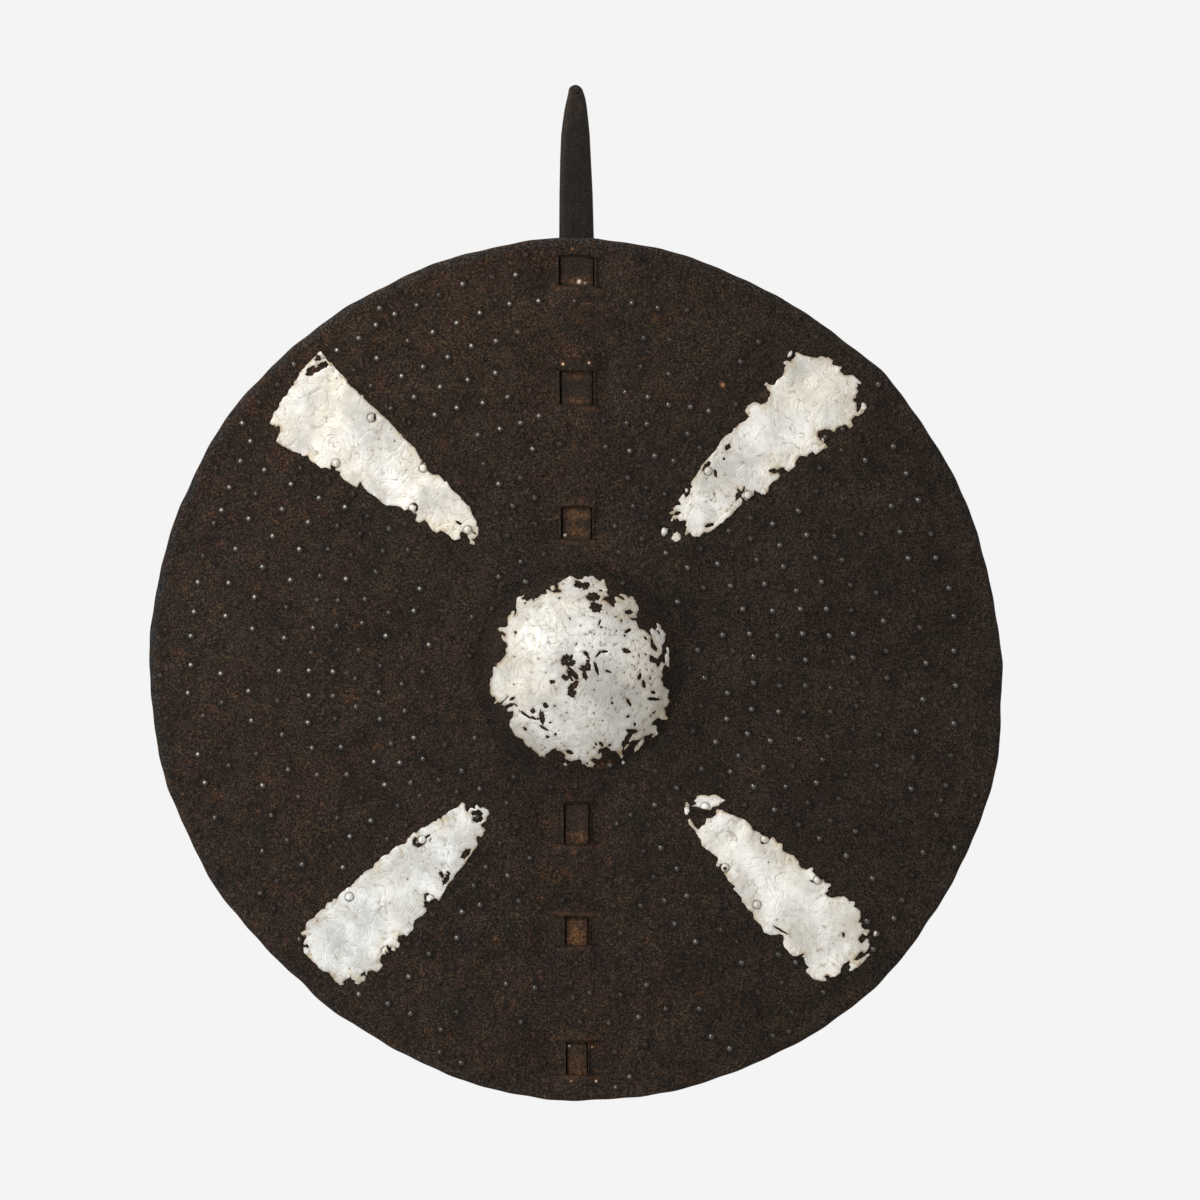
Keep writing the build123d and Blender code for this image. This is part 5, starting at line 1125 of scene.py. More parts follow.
def build_leaf(name, seed):
    g = np.random.default_rng(seed)
    loops = [clean_loop(ragged(LEAVES[name], seed))]
    loops += [clean_loop(tear_outline(f, seed + 50 + i)) for i, f in enumerate(FLAKES.get(name, []))]
    holes = [clean_loop(tear_outline(t, seed + 90 + i)) for i, t in enumerate(TEARS[name])]
    # Pin-holes, thickest where the leaf is most worn.
    lo, hi = loops[0].min(0), loops[0].max(0)
    want = {"centre_leaf": 115, "leaf_top_right": 18}.get(name, 6)
    tries = 0
    centres = [(h.mean(0), np.abs(h - h.mean(0)).max()) for h in holes]
    while want and tries < 4000:
        tries += 1
        c = g.uniform(lo, hi)
        if not inside_poly(np.array([c[0]]), np.array([c[1]]), loops[0])[0]:
            continue
        if poly_dist(np.array([c[0]]), np.array([c[1]]), loops[0])[0] < 2.4:
            continue
        if name == "centre_leaf" and g.random() > 0.3 + 0.7 * (c[0] > 5 or c[1] < -38):
            continue
        if name == "leaf_top_right" and c[0] > 118:
            continue
        rad = g.uniform(0.25, 0.55)
        if any(np.linalg.norm(c - o) < q + rad + 1.2 for o, q in centres):
            continue
        holes.append(tear_outline((c[0], c[1], rad, rad * g.uniform(0.7, 1.3), g.uniform(0, 90)), tries))
        centres.append((c, rad))
        want -= 1
    pts, edges = [], []
    for loop in loops + holes:
        s = sum(len(q) for q in pts)
        pts.append(loop)
        k = len(loop)
        edges += [(s + i, s + (i + 1) % k) for i in range(k)]
    body = np.vstack(loops)
    lo, hi = body.min(0), body.max(0)
    grid = hex_grid(lo[0], hi[0], lo[1], hi[1], 2.3, 0.3, g)
    near = (
        (STUD[:, 0] > lo[0] - 8) & (STUD[:, 0] < hi[0] + 8)
        & (STUD[:, 1] > lo[1] - 8) & (STUD[:, 1] < hi[1] + 8)
    )
    sp = stud_points(near)
    grid = grid[far_from_studs(grid, 1.75)]
    if name == "centre_leaf":
        sp = sp[:0]
    cand = np.vstack([grid, sp])
    ok = np.zeros(len(cand), bool)
    dist = np.full(len(cand), 1e9)
    for loop in loops:
        ok |= inside_poly(cand[:, 0], cand[:, 1], loop)
    for loop in loops + holes:
        dist = np.minimum(dist, poly_dist(cand[:, 0], cand[:, 1], loop))
    for h in holes:
        ok &= ~inside_poly(cand[:, 0], cand[:, 1], h)
    pts.append(cand[ok & (dist > 0.5)])
    P = np.vstack(pts)
    v, tri, _ = triangulate(P, edges)
    c = v[tri].mean(1)
    keep = np.zeros(len(c), bool)
    for loop in loops:
        keep |= inside_poly(c[:, 0], c[:, 1], loop)
    for h in holes:
        keep &= ~inside_poly(c[:, 0], c[:, 1], h)
    tri = tri[keep]
    x, z = v[:, 0], v[:, 1]
    d = np.full(len(v), 1e9)
    d_out = np.full(len(v), 1e9)
    for i, loop in enumerate(loops + holes):
        q = poly_dist(x, z, loop)
        d = np.minimum(d, q)
        if i < len(loops):
            d_out = np.minimum(d_out, q)
    bump, top, ring = stud_field(x, z)
    y = front_y(x, z) - 0.22
    # Beaten ripples, and edges that lift a little here and there.
    y -= 0.16 * (1 + waves("beat", x, z, 9, 2, 21))
    y -= 0.10 * (1 + waves("crease", x + 0.6 * z, z, 26, 3, 22))
    y -= 0.55 * np.clip(waves("lift", x, z, 14, 2, 23), 0, 1) * np.exp(-((d / 1.9) ** 2))
    front = np.column_stack([x, y - 0.07, z])
    back = np.column_stack([x, y + 0.07, z])
    edge = np.maximum(0.45 * np.exp(-((d / 0.7) ** 2)), 0.85 * np.exp(-((d_out / 0.9) ** 2)))
    wide = np.exp(-((d_out / 7.0) ** 2))
    layer = np.column_stack([edge, ring * (1.0 if name != "centre_leaf" else 0.0), wide])
    ob = make_sheet(name + "_skin", np.column_stack([x, z]), tri, front, back, 0.03, {"wear_and_painted_light": layer})
    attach(ob, "disc")
    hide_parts(name)
    return ob


# ----------------------------------------------------------------------- staff
def build_staff():
    g = np.random.default_rng(5)
    zs = np.concatenate([
        np.linspace(-298, -294, 4), np.arange(-292, 300, 1.6), np.arange(302, 396, 3.0),
        np.array([397.5, 400, 402, 404, 406, 408, 409.5, 410.4, 411, 411.5, 411.9, 412.2, 412.4]),
    ])
    L = np.interp(zs, [a for a, _ in STAFF_LEFT], [b for _, b in STAFF_LEFT])
    R = np.interp(zs, [a for a, _ in STAFF_RIGHT], [b for _, b in STAFF_RIGHT])
    m = 72
    verts, faces = [], []
    wear_and_painted_light = []
    for k, zz in enumerate(zs):
        c, h = (L[k] + R[k]) / 2, (R[k] - L[k]) / 2
        # Ends are rounded over; the head thins a little towards its point.
        end = min(1.0, math.sqrt(max(0.0, 1 - max(0.0, (-294 - zz) / 4.6) ** 2)))
        depth = STAFF_T / 2 * (1 - 0.42 * max(0.0, min(1.0, (zz - 372) / 42)) ** 1.6)
        h2, d2 = (h - 0.02) * (0.55 + 0.45 * end), (depth - 0.1) * (0.5 + 0.5 * end)
        for q in range(m):
            a = 2 * math.pi * q / m
            ca, sa = math.cos(a), math.sin(a)
            # A rounded rectangle: a superellipse with crisper corners on the right.
            p = 16.0 if zz < 296 else (4.6 if ca > 0 else 4.0)
            s = (abs(ca) ** p + abs(sa) ** p) ** (-1 / p)
            x, y = s * ca * h2, s * sa * d2
            # Knife facets and hand wear: shallow hollows that run along the lath.
            dent = 0.16 * noise.noise(Vector((ca * 2.2, sa * 2.2, zz * 0.035)))
            dent += 0.09 * noise.noise(Vector((ca * 6.0, sa * 6.0, zz * 0.11 + 9)))
            f = 1 - (0.02 + max(0.0, dent)) / max(h2, 4.0)
            verts.append(((c + x * f) * MM, y * f * MM, zz * MM))
            rub, staff_glint = 0.0, 0.0
            if sa < 0.1:
                for rx, rz, rw, rh, amount in STAFF_RUBS:
                    e = ((c + x - rx) / rw) ** 2 + ((zz - rz) / rh) ** 2
                    rub = max(rub, amount * math.exp(-e * 0.8))
                for sx, sz, sr, kind in STAFF_GLINTS:
                    e = ((c + x - sx) ** 2 + (zz - sz) ** 2) / sr**2
                    staff_glint = max(staff_glint, 0.5 * kind * math.exp(-e))
            # Channels: painted highlight along the lath's edges, the head, rubbing, and painted highlight spots.
            wear_and_painted_light.append((max(max(0.0, ca) ** 6, 0.6 * max(0.0, -ca) ** 8), max(0.0, min(1.0, (zz - 372) / 40)), rub, staff_glint))
    for k in range(len(zs) - 1):
        for q in range(m):
            a, b = k * m + q, k * m + (q + 1) % m
            faces.append((a, b, b + m, a + m))
    faces.append(tuple(range(m - 1, -1, -1)))
    faces.append(tuple(range((len(zs) - 1) * m, len(zs) * m)))
    me = bpy.data.meshes.new("staff_lath")
    me.from_pydata(verts, [], faces)
    me.polygons.foreach_set("use_smooth", [True] * len(me.polygons))
    col = me.color_attributes.new("wear_and_painted_light", "FLOAT_COLOR", "POINT")
    col.data.foreach_set("color", np.array(wear_and_painted_light, np.float32).ravel())
    ob = bpy.data.objects.new("staff_lath", me)
    bpy.context.scene.collection.objects.link(ob)
    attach(ob, "staff")
    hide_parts("staff")
    return ob


hide = build_hide()
leaves = [build_leaf(n, 100 + 17 * i) for i, n in enumerate(LEAVES)]
lath = build_staff()


# ------------------------------------------------------------------- materials
class Nodes:
    """Small helpers to write a node tree."""

    def __init__(self, name):
        self.mat = bpy.data.materials.new(name)
        self.mat.use_nodes = True
        self.t = self.mat.node_tree
        self.t.nodes.clear()
        self.out = self.t.nodes.new("ShaderNodeOutputMaterial")
        self.bsdf = self.t.nodes.new("ShaderNodeBsdfPrincipled")
        self.t.links.new(self.bsdf.outputs["BSDF"], self.out.inputs["Surface"])
        self.coord = self.t.nodes.new("ShaderNodeTexCoord").outputs["Object"]

    def link(self, a, b):
        self.t.links.new(a, b)

    def put(self, sock, v):
        if isinstance(v, bpy.types.NodeSocket):
            self.link(v, sock)
        else:
            sock.default_value = v

    def noise(self, scale, detail=4.0, rough=0.55, distort=0.0, vec=None, lac=2.0):
        n = self.t.nodes.new("ShaderNodeTexNoise")
        n.inputs["Scale"].default_value = scale
        n.inputs["Detail"].default_value = detail
        n.inputs["Roughness"].default_value = rough
        n.inputs["Lacunarity"].default_value = lac
        n.inputs["Distortion"].default_value = distort
        self.link(vec or self.coord, n.inputs["Vector"])
        return n.outputs["Fac"]

    def voronoi(self, scale, feature="F1", vec=None, rand=1.0):
        n = self.t.nodes.new("ShaderNodeTexVoronoi")
        n.feature = feature
        n.inputs["Scale"].default_value = scale
        n.inputs["Randomness"].default_value = rand
        self.link(vec or self.coord, n.inputs["Vector"])
        return n.outputs["Distance"]

    def mapping(self, scale=(1, 1, 1), rot=(0, 0, 0), loc=(0, 0, 0)):
        n = self.t.nodes.new("ShaderNodeMapping")
        n.inputs["Scale"].default_value = scale
        n.inputs["Rotation"].default_value = rot
        n.inputs["Location"].default_value = loc
        self.link(self.coord, n.inputs["Vector"])
        return n.outputs["Vector"]

    def ramp(self, v, lo, hi, a=0.0, b=1.0, smooth_it=True):
        n = self.t.nodes.new("ShaderNodeMapRange")
        n.interpolation_type = "SMOOTHSTEP" if smooth_it else "LINEAR"
        n.inputs["From Min"].default_value = lo
        n.inputs["From Max"].default_value = hi
        n.inputs["To Min"].default_value = a
        n.inputs["To Max"].default_value = b
        self.link(v, n.inputs["Value"])
        return n.outputs["Result"]

    def math(self, op, a, b=0.0, clamp=False):
        n = self.t.nodes.new("ShaderNodeMath")
        n.operation = op
        n.use_clamp = clamp
        self.put(n.inputs[0], a)
        self.put(n.inputs[1], b)
        return n.outputs[0]

    def mix(self, fac, a, b, blend="MIX"):
        n = self.t.nodes.new("ShaderNodeMix")
        n.data_type = "RGBA"
        n.blend_type = blend
        self.put(n.inputs[0], fac)
        for sock, v in ((n.inputs[6], a), (n.inputs[7], b)):
            if isinstance(v, bpy.types.NodeSocket):
                self.link(v, sock)
            else:
                sock.default_value = (*v, 1.0)
        return n.outputs[2]

    def attr(self, name):
        n = self.t.nodes.new("ShaderNodeAttribute")
        n.attribute_name = name
        s = self.t.nodes.new("ShaderNodeSeparateColor")
        self.link(n.outputs["Color"], s.inputs[0])
        return s.outputs[0], s.outputs[1], s.outputs[2], n.outputs["Alpha"]

    def bump(self, height, dist, strength=1.0, normal=None):
        n = self.t.nodes.new("ShaderNodeBump")
        n.inputs["Distance"].default_value = dist
        n.inputs["Strength"].default_value = strength
        self.link(height, n.inputs["Height"])
        if normal is not None:
            self.link(normal, n.inputs["Normal"])
        return n.outputs["Normal"]


HIDE_DARK, HIDE_MID = (0.0107, 0.0069, 0.0043), (0.0181, 0.0119, 0.0074)
HIDE_RED, HIDE_RUST = (0.0262, 0.0120, 0.0076), (0.0410, 0.0190, 0.0076)
HIDE_OLIVE, HIDE_PLUM = (0.0150, 0.0119, 0.0054), (0.0152, 0.0101, 0.0097)
GRIT = (0.08, 2.20)


def hide_material():
    m = Nodes("dried_hide")
    # The vertex colours hold the stud tops with painted highlight spots, the wear with painted highlights, the
    # painted shade, and the side.
    top, wear_and_glint, crevice_shade, side = m.attr("wear_and_painted_light")
    # Object units are metres: a scale of 1000 is one swell a millimetre.
    broad = m.noise(30, 6, 0.66, 0.5)
    warm = m.noise(48, 5, 0.62, 0.5, m.mapping(loc=(3.1, 1.7, 0.4)))
    rusty = m.noise(82, 4, 0.60, 0.4, m.mapping(loc=(0.6, 5.2, 2.9)))
    olive = m.noise(62, 4, 0.60, 0.5, m.mapping(loc=(7.3, 2.2, 5.5)))
    plum = m.noise(70, 4, 0.60, 0.5, m.mapping(loc=(2.9, 8.8, 1.5)))
    fine = m.noise(260, 5, 0.70, 0.2)
    grit = m.noise(1050, 2, 0.6)
    speck = m.noise(540, 2, 0.5, 0.0, m.mapping(loc=(1.3, 9.2, 4.4)))
    # Red and rust tones are stronger on the left and low on the disc, and up its centre line.
    sep = m.t.nodes.new("ShaderNodeSeparateXYZ")
    m.link(m.coord, sep.inputs[0])
    px, pz = sep.outputs[0], sep.outputs[2]
    left = m.ramp(px, 0.02, -0.24, 0.0, 0.75)
    low = m.math("MULTIPLY", m.ramp(pz, 0.0, -0.26, 0.0, 0.75), m.ramp(px, 0.17, -0.02, 0.15, 1.0))
    off = m.math("ABSOLUTE", px)
    centre = m.ramp(off, 0.055, 0.008, 0.0, 0.75)
    high = m.math("MULTIPLY", m.ramp(pz, 0.12, 0.28, 0.0, 0.5), m.ramp(off, 0.20, 0.06, 0.0, 1.0))
    zone = m.math("MAXIMUM", m.math("MAXIMUM", left, low), m.math("MAXIMUM", centre, high))
    zone = m.math("ADD", m.math("MULTIPLY", zone, 0.72), 0.20, True)
    c = m.mix(m.ramp(broad, 0.36, 0.64), HIDE_DARK, HIDE_MID)
    c = m.mix(m.math("MULTIPLY", m.ramp(warm, 0.46, 0.68, 0, 0.95), zone), c, HIDE_RED)
    c = m.mix(m.ramp(olive, 0.50, 0.72, 0, 0.60), c, HIDE_OLIVE)
    c = m.mix(m.ramp(plum, 0.52, 0.74, 0, 0.60), c, HIDE_PLUM)
    c = m.mix(m.math("MULTIPLY", m.ramp(rusty, 0.54, 0.76, 0, 0.80), zone), c, HIDE_RUST)
    # Rubbed bare in freckles, and grimed in the grain.
    c = m.mix(m.math("MULTIPLY", m.ramp(speck, 0.60, 0.74, 0, 0.80), zone), c, (0.062, 0.034, 0.018))
    cool = m.math("MULTIPLY", m.ramp(wear_and_glint, -0.10, -0.80), m.ramp(pz, -0.20, 0.05, 0.25, 0.85))
    cool = m.math("MULTIPLY", cool, m.ramp(px, 0.08, -0.08, 0.35, 0.85))
    c = m.mix(m.math("MULTIPLY", cool, m.ramp(rusty, 0.60, 0.44, 0.4, 1.0)), c, (0.0160, 0.0160, 0.0160))
    c = m.mix(m.ramp(fine, 0.26, 0.74, 0.0, 1.0), m.mix(1.0, c, (0.62, 0.62, 0.62), "MULTIPLY"),
              m.mix(1.0, c, (1.42, 1.42, 1.42), "MULTIPLY"))
    c = m.mix(1.0, c, m.ramp(grit, 0.385, 0.615, GRIT[0], GRIT[1], False), "MULTIPLY")
    c = m.mix(1.0, c, m.ramp(m.noise(620, 2, 0.6, 0.0, m.mapping(loc=(5.5, 0.2, 3.3))), 0.39, 0.61, 0.50, 1.52, False), "MULTIPLY")
    # Painted light: the upper left of the disc, towards the key light, is made lighter and warmer.
    warm_top = m.math("MULTIPLY", m.ramp(pz, 0.10, 0.25), m.ramp(px, 0.03, -0.08, 0.25, 1.0))
    c = m.mix(warm_top, c, m.mix(1.0, c, (1.30, 1.19, 1.08), "MULTIPLY"))
    # Hands and staff have rubbed the lips of the slits.
    patchy = m.math("MULTIPLY", m.ramp(wear_and_glint, 0.05, 1.0, 0.0, 0.85), m.ramp(rusty, 0.42, 0.58, 0.0, 1.0), True)
    patchy = m.math("MULTIPLY", patchy, m.ramp(fine, 0.30, 0.60, 0.45, 1.0))
    c = m.mix(patchy, c, (0.080, 0.036, 0.019))
    c = m.mix(m.ramp(wear_and_glint, 0.85, 1.15), c, (0.225, 0.108, 0.043))
    # Painted highlights: near-white glints at the brightest spots by the slits.
    c = m.mix(m.ramp(wear_and_glint, 1.25, 1.8), c, (0.52, 0.45, 0.37))
    # Painted shade darkens the crevices and holes, and the studs' tops are lighter grey, partly rubbed and partly
    # painted sheen.
    c = m.mix(m.math("MULTIPLY", crevice_shade, 0.62, True), c, (0.0036, 0.0028, 0.0022))
    c = m.mix(m.ramp(crevice_shade, 0.95, 1.2), c, (0.0006, 0.0005, 0.0004))
    flesh = m.ramp(side, 0.3, 0.5, 0, 1)
    top = m.math("MULTIPLY", top, m.math("SUBTRACT", 1.0, flesh))
    top = m.math("MULTIPLY", top, m.ramp(wear_and_glint, 0.3, 0.9, 1.0, 0.0))
    # Partly rubbed and partly painted sheen: the glossiest studs' tops are lighter grey.
    c = m.mix(m.ramp(top, 0.05, 0.75, 0, 0.42), c, (0.046, 0.039, 0.033))
    # Painted highlight: pale glints on the tops of the boldest studs.
    stud_glint = m.math("MULTIPLY", m.ramp(top, 0.92, 1.60, 0, 0.95), m.ramp(fine, 0.36, 0.58, 0.35, 1.0))
    c = m.mix(stud_glint, c, (0.44, 0.385, 0.32))
    # Cut edges and the flesh side are browner.
    edge = m.ramp(side, 0.6, 1.0, 0, 1)
    fibre = m.noise(150, 5, 0.7, 1.2, m.mapping(scale=(1.0, 1.0, 0.35), rot=(0, 0.5, 0), loc=(4.1, 0.9, 2.2)))
    back = m.mix(m.ramp(warm, 0.30, 0.72), (0.040, 0.0255, 0.0165), (0.060, 0.0385, 0.0245))
    back = m.mix(m.ramp(fibre, 0.36, 0.66, 0, 0.8), back, (0.030, 0.0185, 0.0120))
    back = m.mix(m.ramp(fibre, 0.60, 0.42, 0, 0.35), back, (0.088, 0.060, 0.040))
    back = m.mix(m.ramp(fine, 0.40, 0.7, 0, 0.6), back, (0.022, 0.0145, 0.0100))
    # Painted shade in the crevices of the flesh side as well.
    back = m.mix(m.math("MULTIPLY", crevice_shade, 0.45), back, (0.010, 0.007, 0.005))
    c = m.mix(m.math("MULTIPLY", flesh, m.math("SUBTRACT", 1.0, edge)), c, back)
    cut = m.mix(m.ramp(fine, 0.35, 0.65), (0.012, 0.008, 0.006), (0.036, 0.021, 0.013))
    c = m.mix(m.math("MULTIPLY", edge, m.ramp(wear_and_glint, 0.0, 0.4, 0.45, 0.9)), c, cut)
    m.link(c, m.bsdf.inputs["Base Color"])
    rough = m.ramp(fine, 0.3, 0.7, 0.66, 0.86)
    rough = m.math("ADD", rough, m.ramp(top, 0.10, 0.85, 0.0, -0.25))
    rough = m.math("ADD", rough, m.math("MULTIPLY", crevice_shade, 0.10))
    rough = m.math("ADD", rough, m.math("MULTIPLY", flesh, 0.10), True)
    m.link(rough, m.bsdf.inputs["Roughness"])
    m.bsdf.inputs["Specular IOR Level"].default_value = 0.14
    # Handling has polished the studs.
    m.link(m.ramp(top, 0.20, 0.75, 0.0, 1.0), m.bsdf.inputs["Coat Weight"])
    m.bsdf.inputs["Coat Roughness"].default_value = 0.22
    m.bsdf.inputs["Coat IOR"].default_value = 1.55
    pores = m.voronoi(330, "F1")
    grain = m.math("ADD", m.math("MULTIPLY", fine, 0.55), m.math("MULTIPLY", grit, 0.30))
    grain = m.math("ADD", grain, m.math("MULTIPLY", pores, 0.35))
    wrinkle = m.voronoi(95, "DISTANCE_TO_EDGE", m.mapping(scale=(1, 1, 1.35)))
    grain = m.math("ADD", grain, m.ramp(wrinkle, 0.0, 0.16, -0.28, 0.0))
    n = m.bump(grain, 0.00060, 0.85)
    m.link(n, m.bsdf.inputs["Normal"])
    return m.mat


def wood_material():
    m = Nodes("staff_wood")
    edge_highlight, head, rub, staff_glint = m.attr("wear_and_painted_light")
    stretch = m.mapping(scale=(1, 1, 0.06))
    grain = m.noise(420, 5, 0.65, 0.3, stretch)
    bands = m.noise(90, 4, 0.6, 0.8, m.mapping(scale=(1, 1, 0.10), loc=(0.3, 0.2, 0.1)))
    blotch = m.noise(60, 4, 0.6)
    fine = m.noise(300, 5, 0.7, 0.2, m.mapping(scale=(1, 1, 0.5)))
    grit = m.noise(760, 3, 0.65)
    c = m.mix(m.ramp(bands, 0.35, 0.65), (0.0105, 0.0082, 0.0062), (0.0185, 0.0130, 0.0092))
    c = m.mix(m.ramp(grain, 0.45, 0.70, 0, 0.5), c, (0.0060, 0.0048, 0.0038))
    c = m.mix(m.ramp(blotch, 0.45, 0.70, 0, 0.6), c, (0.0235, 0.0145, 0.0085))
    c = m.mix(m.ramp(fine, 0.62, 0.78, 0, 0.5), c, (0.046, 0.036, 0.024))
    sep = m.t.nodes.new("ShaderNodeSeparateXYZ")
    m.link(m.coord, sep.inputs[0])
    woven = m.ramp(sep.outputs[2], 0.306, 0.296)
    c = m.mix(m.math("SUBTRACT", 1.0, woven), c, m.mix(1.0, c, (0.70, 0.72, 0.72), "MULTIPLY"))
    c = m.mix(m.math("MULTIPLY", woven, m.ramp(blotch, 0.3, 0.7, 0.75, 1.0)), c, (0.0180, 0.0118, 0.0078))
    c = m.mix(m.math("MULTIPLY", woven, m.ramp(m.noise(90, 4, 0.6, 0.5, m.mapping(loc=(8.1, 3.3, 0.2))), 0.50, 0.70, 0, 0.8)), c, (0.0330, 0.0170, 0.0095))
    # Rubbed bare where it shows in the windows.
    bare = m.mix(m.ramp(grain, 0.35, 0.65), (0.072, 0.032, 0.0125), (0.150, 0.072, 0.028))
    amount = m.math("MULTIPLY", rub, m.ramp(m.noise(190, 4, 0.65), 0.34, 0.58, 0.25, 1.0), True)
    c = m.mix(amount, c, bare)
    c = m.mix(1.0, c, m.ramp(grit, 0.38, 0.62, 0.35, 1.70, False), "MULTIPLY")
    # Painted highlights: pale glints on the staff by the slits.
    c = m.mix(m.ramp(staff_glint, 0.30, 0.85), c, (0.60, 0.52, 0.42))
    # Painted highlight along the lath's edges, strongest on the right.
    c = m.mix(m.math("MULTIPLY", edge_highlight, 0.45), c, (0.050, 0.044, 0.038))
    c = m.mix(m.math("MULTIPLY", m.math("MULTIPLY", head, m.ramp(fine, 0.45, 0.65)), 0.7), c, (0.052, 0.028, 0.015))
    m.link(c, m.bsdf.inputs["Base Color"])
    rough = m.math("ADD", m.ramp(grain, 0.3, 0.7, 0.46, 0.66), m.math("MULTIPLY", woven, 0.24), True)
    m.link(rough, m.bsdf.inputs["Roughness"])
    m.bsdf.inputs["Specular IOR Level"].default_value = 0.16
    h = m.math("ADD", m.math("MULTIPLY", grain, 0.8), m.math("MULTIPLY", bands, 0.5))
    m.link(m.bump(h, 0.0005, 0.6), m.bsdf.inputs["Normal"])
    return m.mat


def leaf_material():
    m = Nodes("metal_leaf")
    edge, ring, wide, _ = m.attr("wear_and_painted_light")
    fine = m.noise(260, 4, 0.6)
    tiny = m.noise(620, 3, 0.6)
    cloud = m.noise(34, 5, 0.6, 0.4)
    gold = m.noise(20, 4, 0.55, 0.3, m.mapping(loc=(2.2, 0.4, 8.1)))
    stain = m.noise(110, 5, 0.7, 0.6, m.mapping(loc=(5.2, 3.3, 1.1)))
    c = m.mix(m.ramp(cloud, 0.34, 0.64), (0.440, 0.425, 0.390), (0.670, 0.655, 0.618))
    sep = m.t.nodes.new("ShaderNodeSeparateXYZ")
    m.link(m.coord, sep.inputs[0])
    cream = m.math("MULTIPLY", m.ramp(gold, 0.42, 0.66, 0, 0.40), m.ramp(sep.outputs[2], -0.09, 0.02, 0.45, 1.0))
    c = m.mix(cream, c, (0.68, 0.61, 0.46))
    c = m.mix(m.ramp(fine, 0.50, 0.76, 0, 0.50), c, (0.36, 0.33, 0.29))
    # Dark fold lines, and freckles where the tarnish has started.
    swirl = m.noise(58, 2, 0.5, 1.6, m.mapping(loc=(1.1, 6.3, 0.7)))
    fold = m.math("ABSOLUTE", m.math("SUBTRACT", swirl, 0.5))
    line = m.math("MULTIPLY", m.ramp(fold, 0.020, 0.0), m.ramp(stain, 0.40, 0.58, 0.0, 0.80))
    c = m.mix(line, c, (0.27, 0.23, 0.18))
    c = m.mix(m.ramp(stain, 0.62, 0.78, 0, 0.60), c, (0.44, 0.34, 0.21))
    freckle = m.math("MULTIPLY", m.ramp(tiny, 0.635, 0.71), m.ramp(cloud, 0.66, 0.42, 0.1, 0.9))
    c = m.mix(freckle, c, (0.15, 0.11, 0.075))
    # The arms are paler than the boss.
    span = m.t.nodes.new("ShaderNodeVectorMath")
    span.operation = "LENGTH"
    m.link(m.coord, span.inputs[0])
    gain = m.ramp(span.outputs["Value"], 0.080, 0.100, 1.02, 1.20)
    c = m.mix(1.0, c, gain, "MULTIPLY")
    side = m.mix(m.ramp(sep.outputs[0], -0.02, 0.02), (0.94, 0.97, 1.0), (1.06, 1.06, 1.06))
    c = m.mix(m.ramp(sep.outputs[2], -0.06, -0.09), c, m.mix(1.0, c, side, "MULTIPLY"))
    # Tarnish gathers at torn edges, and the leaf is darker in a ring round each stud.
    ed = m.math("MULTIPLY", edge, m.ramp(stain, 0.36, 0.60, 0.15, 1.0))
    c = m.mix(m.math("MULTIPLY", ed, 0.9, True), c, (0.200, 0.118, 0.050))
    halo = m.math("MULTIPLY", wide, m.ramp(stain, 0.46, 0.66, 0.0, 0.50))
    c = m.mix(halo, c, (0.50, 0.38, 0.22))
    rg = m.math("MULTIPLY", m.ramp(ring, 0.60, 0.95), m.ramp(stain, 0.34, 0.56, 0.45, 1.0))
    c = m.mix(rg, c, (0.070, 0.052, 0.036))
    m.link(c, m.bsdf.inputs["Base Color"])
    m.bsdf.inputs["Metallic"].default_value = 0.30
    rough = m.ramp(fine, 0.3, 0.7, 0.50, 0.68)
    m.link(m.math("ADD", rough, m.math("MULTIPLY", ed, 0.25), True), m.bsdf.inputs["Roughness"])
    h = m.math("ADD", m.math("MULTIPLY", fine, 0.45), m.math("MULTIPLY", cloud, 0.8))
    h = m.math("ADD", h, m.ramp(fold, 0.0, 0.06, -0.25, 0.0))
    m.link(m.bump(h, 0.0009, 0.85), m.bsdf.inputs["Normal"])
    return m.mat


mat_hide, mat_wood, mat_leaf = hide_material(), wood_material(), leaf_material()
hide.data.materials.append(mat_hide)
lath.data.materials.append(mat_wood)
for o in leaves:
    o.data.materials.append(mat_leaf)

# ----------------------------------------------------------------------- stage
scene = bpy.context.scene


def emission(name, col, strength):
    mat = bpy.data.materials.new(name)
    mat.use_nodes = True
    t = mat.node_tree
    t.nodes.clear()
    o = t.nodes.new("ShaderNodeOutputMaterial")
    e = t.nodes.new("ShaderNodeEmission")
    e.inputs["Color"].default_value = (*col, 1)
    e.inputs["Strength"].default_value = strength
    t.links.new(e.outputs[0], o.inputs["Surface"])
    return mat


world = bpy.data.worlds.new("studio")
scene.world = world
world.use_nodes = True
bg = world.node_tree.nodes["Background"]
bg.inputs["Color"].default_value = (1.0, 0.985, 0.965, 1)
bg.inputs["Strength"].default_value = 0.42

# A plain pale surround, which lights nothing.
me = bpy.data.meshes.new("surround")
n_a, n_b = 48, 24
sv, sf = [], []
for i in range(n_b + 1):
    for j in range(n_a):
        a, b = 2 * math.pi * j / n_a, math.pi * i / n_b
        sv.append((14 * math.sin(b) * math.cos(a), 14 * math.sin(b) * math.sin(a), 14 * math.cos(b)))
for i in range(n_b):
    for j in range(n_a):
        a, b = i * n_a + j, i * n_a + (j + 1) % n_a
        sf.append((a, b, b + n_a, a + n_a))
me.from_pydata(sv, [], sf)
surround = bpy.data.objects.new("surround", me)
scene.collection.objects.link(surround)
me.materials.append(emission("surround", (1, 1, 1), 0.905))
for flag in ("visible_diffuse", "visible_glossy", "visible_transmission", "visible_volume_scatter", "visible_shadow"):
    setattr(surround, flag, False)

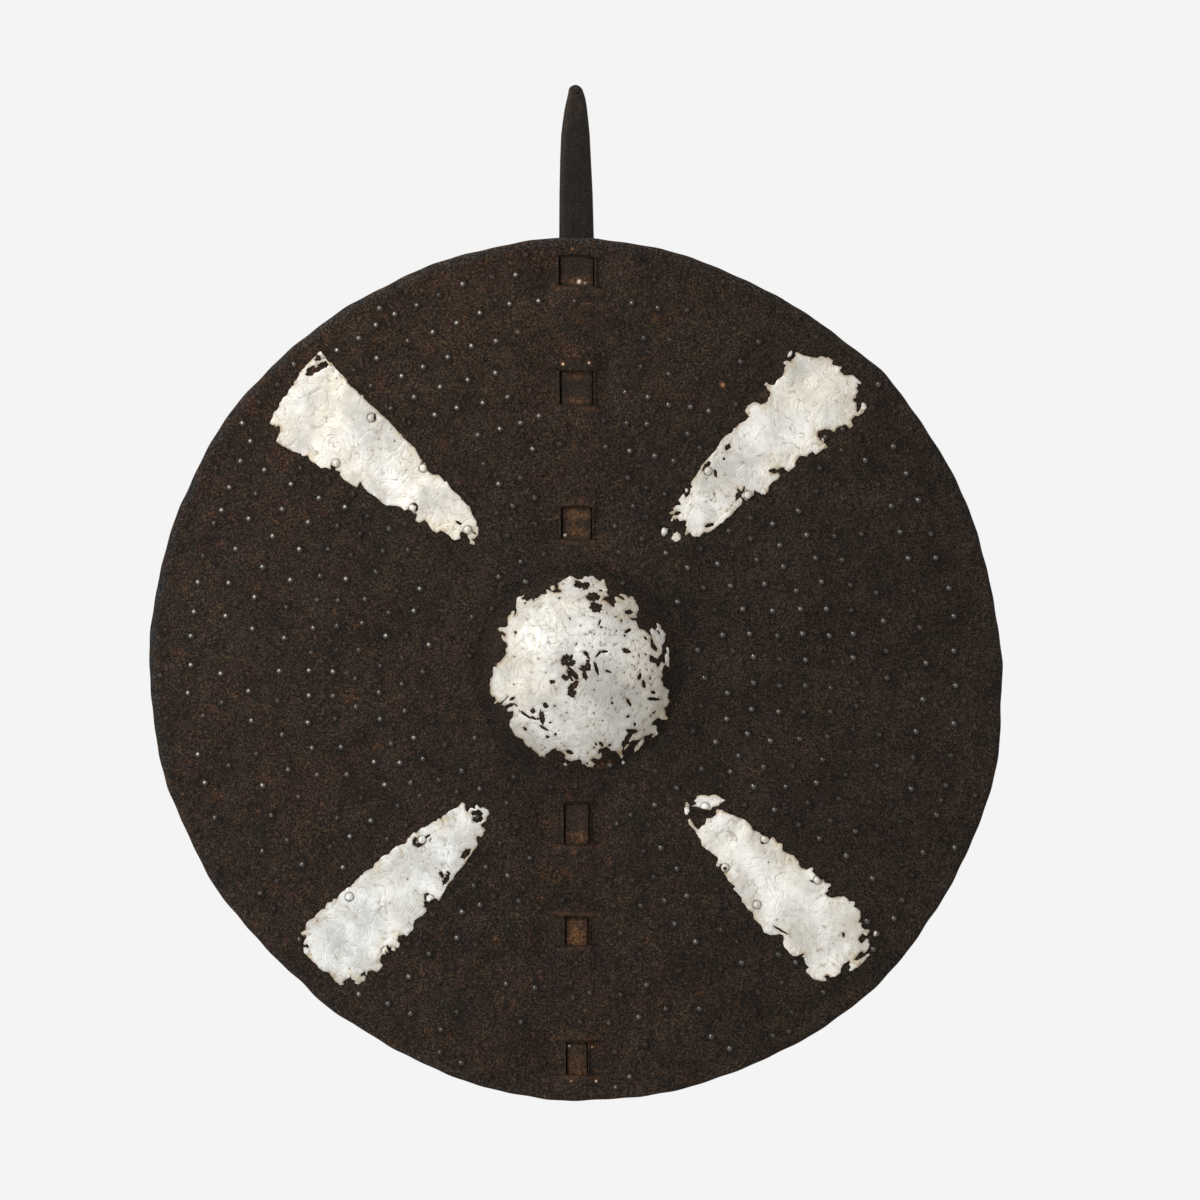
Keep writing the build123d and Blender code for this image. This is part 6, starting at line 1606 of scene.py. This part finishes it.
me = bpy.data.meshes.new("floor")
fz, fr = -1.2, 5.0
me.from_pydata(
    [(fr * math.cos(math.pi * k / 60), fr * math.sin(math.pi * k / 60), fz) for k in range(120)],
    [], [tuple(range(120))],
)
floor = bpy.data.objects.new("floor", me)
scene.collection.objects.link(floor)
fm = Nodes("pale_floor")
fm.bsdf.inputs["Base Color"].default_value = (0.82, 0.82, 0.815, 1)
fm.bsdf.inputs["Roughness"].default_value = 0.9
fade = fm.t.nodes.new("ShaderNodeVectorMath")
fade.operation = "LENGTH"
fm.link(fm.coord, fade.inputs[0])
fm.link(fm.ramp(fade.outputs["Value"], 2.4, 4.6, 1.0, 0.0), fm.bsdf.inputs["Alpha"])
me.materials.append(fm.mat)


def area(name, loc, size, power, target=(0, 0, 0.02), col=(1, 1, 1)):
    d = bpy.data.lights.new(name, "AREA")
    d.shape = "DISK"
    d.size = size
    d.energy = power
    d.color = col
    o = bpy.data.objects.new(name, d)
    o.location = loc
    o.rotation_mode = "QUATERNION"
    o.rotation_quaternion = (Vector(target) - Vector(loc)).to_track_quat("-Z", "Y")
    scene.collection.objects.link(o)
    return o


area("key", (-1.5, -2.0, 1.75), 0.38, 62)
area("left_fill", (-2.6, -1.3, -0.2), 1.6, 26)
area("right_fill", (2.6, -2.2, 0.8), 1.6, 14)
area("back_left", (-1.6, 2.4, 1.6), 1.4, 40)
area("back_right", (2.0, 2.2, 0.8), 1.6, 26)
area("overhead", (0.2, 0.2, 2.8), 1.8, 26)

# ---------------------------------------------------------------------- camera
cam_d = bpy.data.cameras.new("camera")
cam_d.sensor_width = 36
cam_d.lens = 250
cam = bpy.data.objects.new("camera", cam_d)
scene.collection.objects.link(cam)
PX = 0.000704
dist = 600 * PX / (18 / 250)
cam.location = (23 * PX, FRONT_Y * MM - dist, 70 * PX)
cam.rotation_mode = "QUATERNION"
cam.rotation_quaternion = Vector((0, 1, 0)).to_track_quat("-Z", "Y")
cam_d.clip_end = 60
scene.camera = cam
scene.view_settings.view_transform = "Standard"
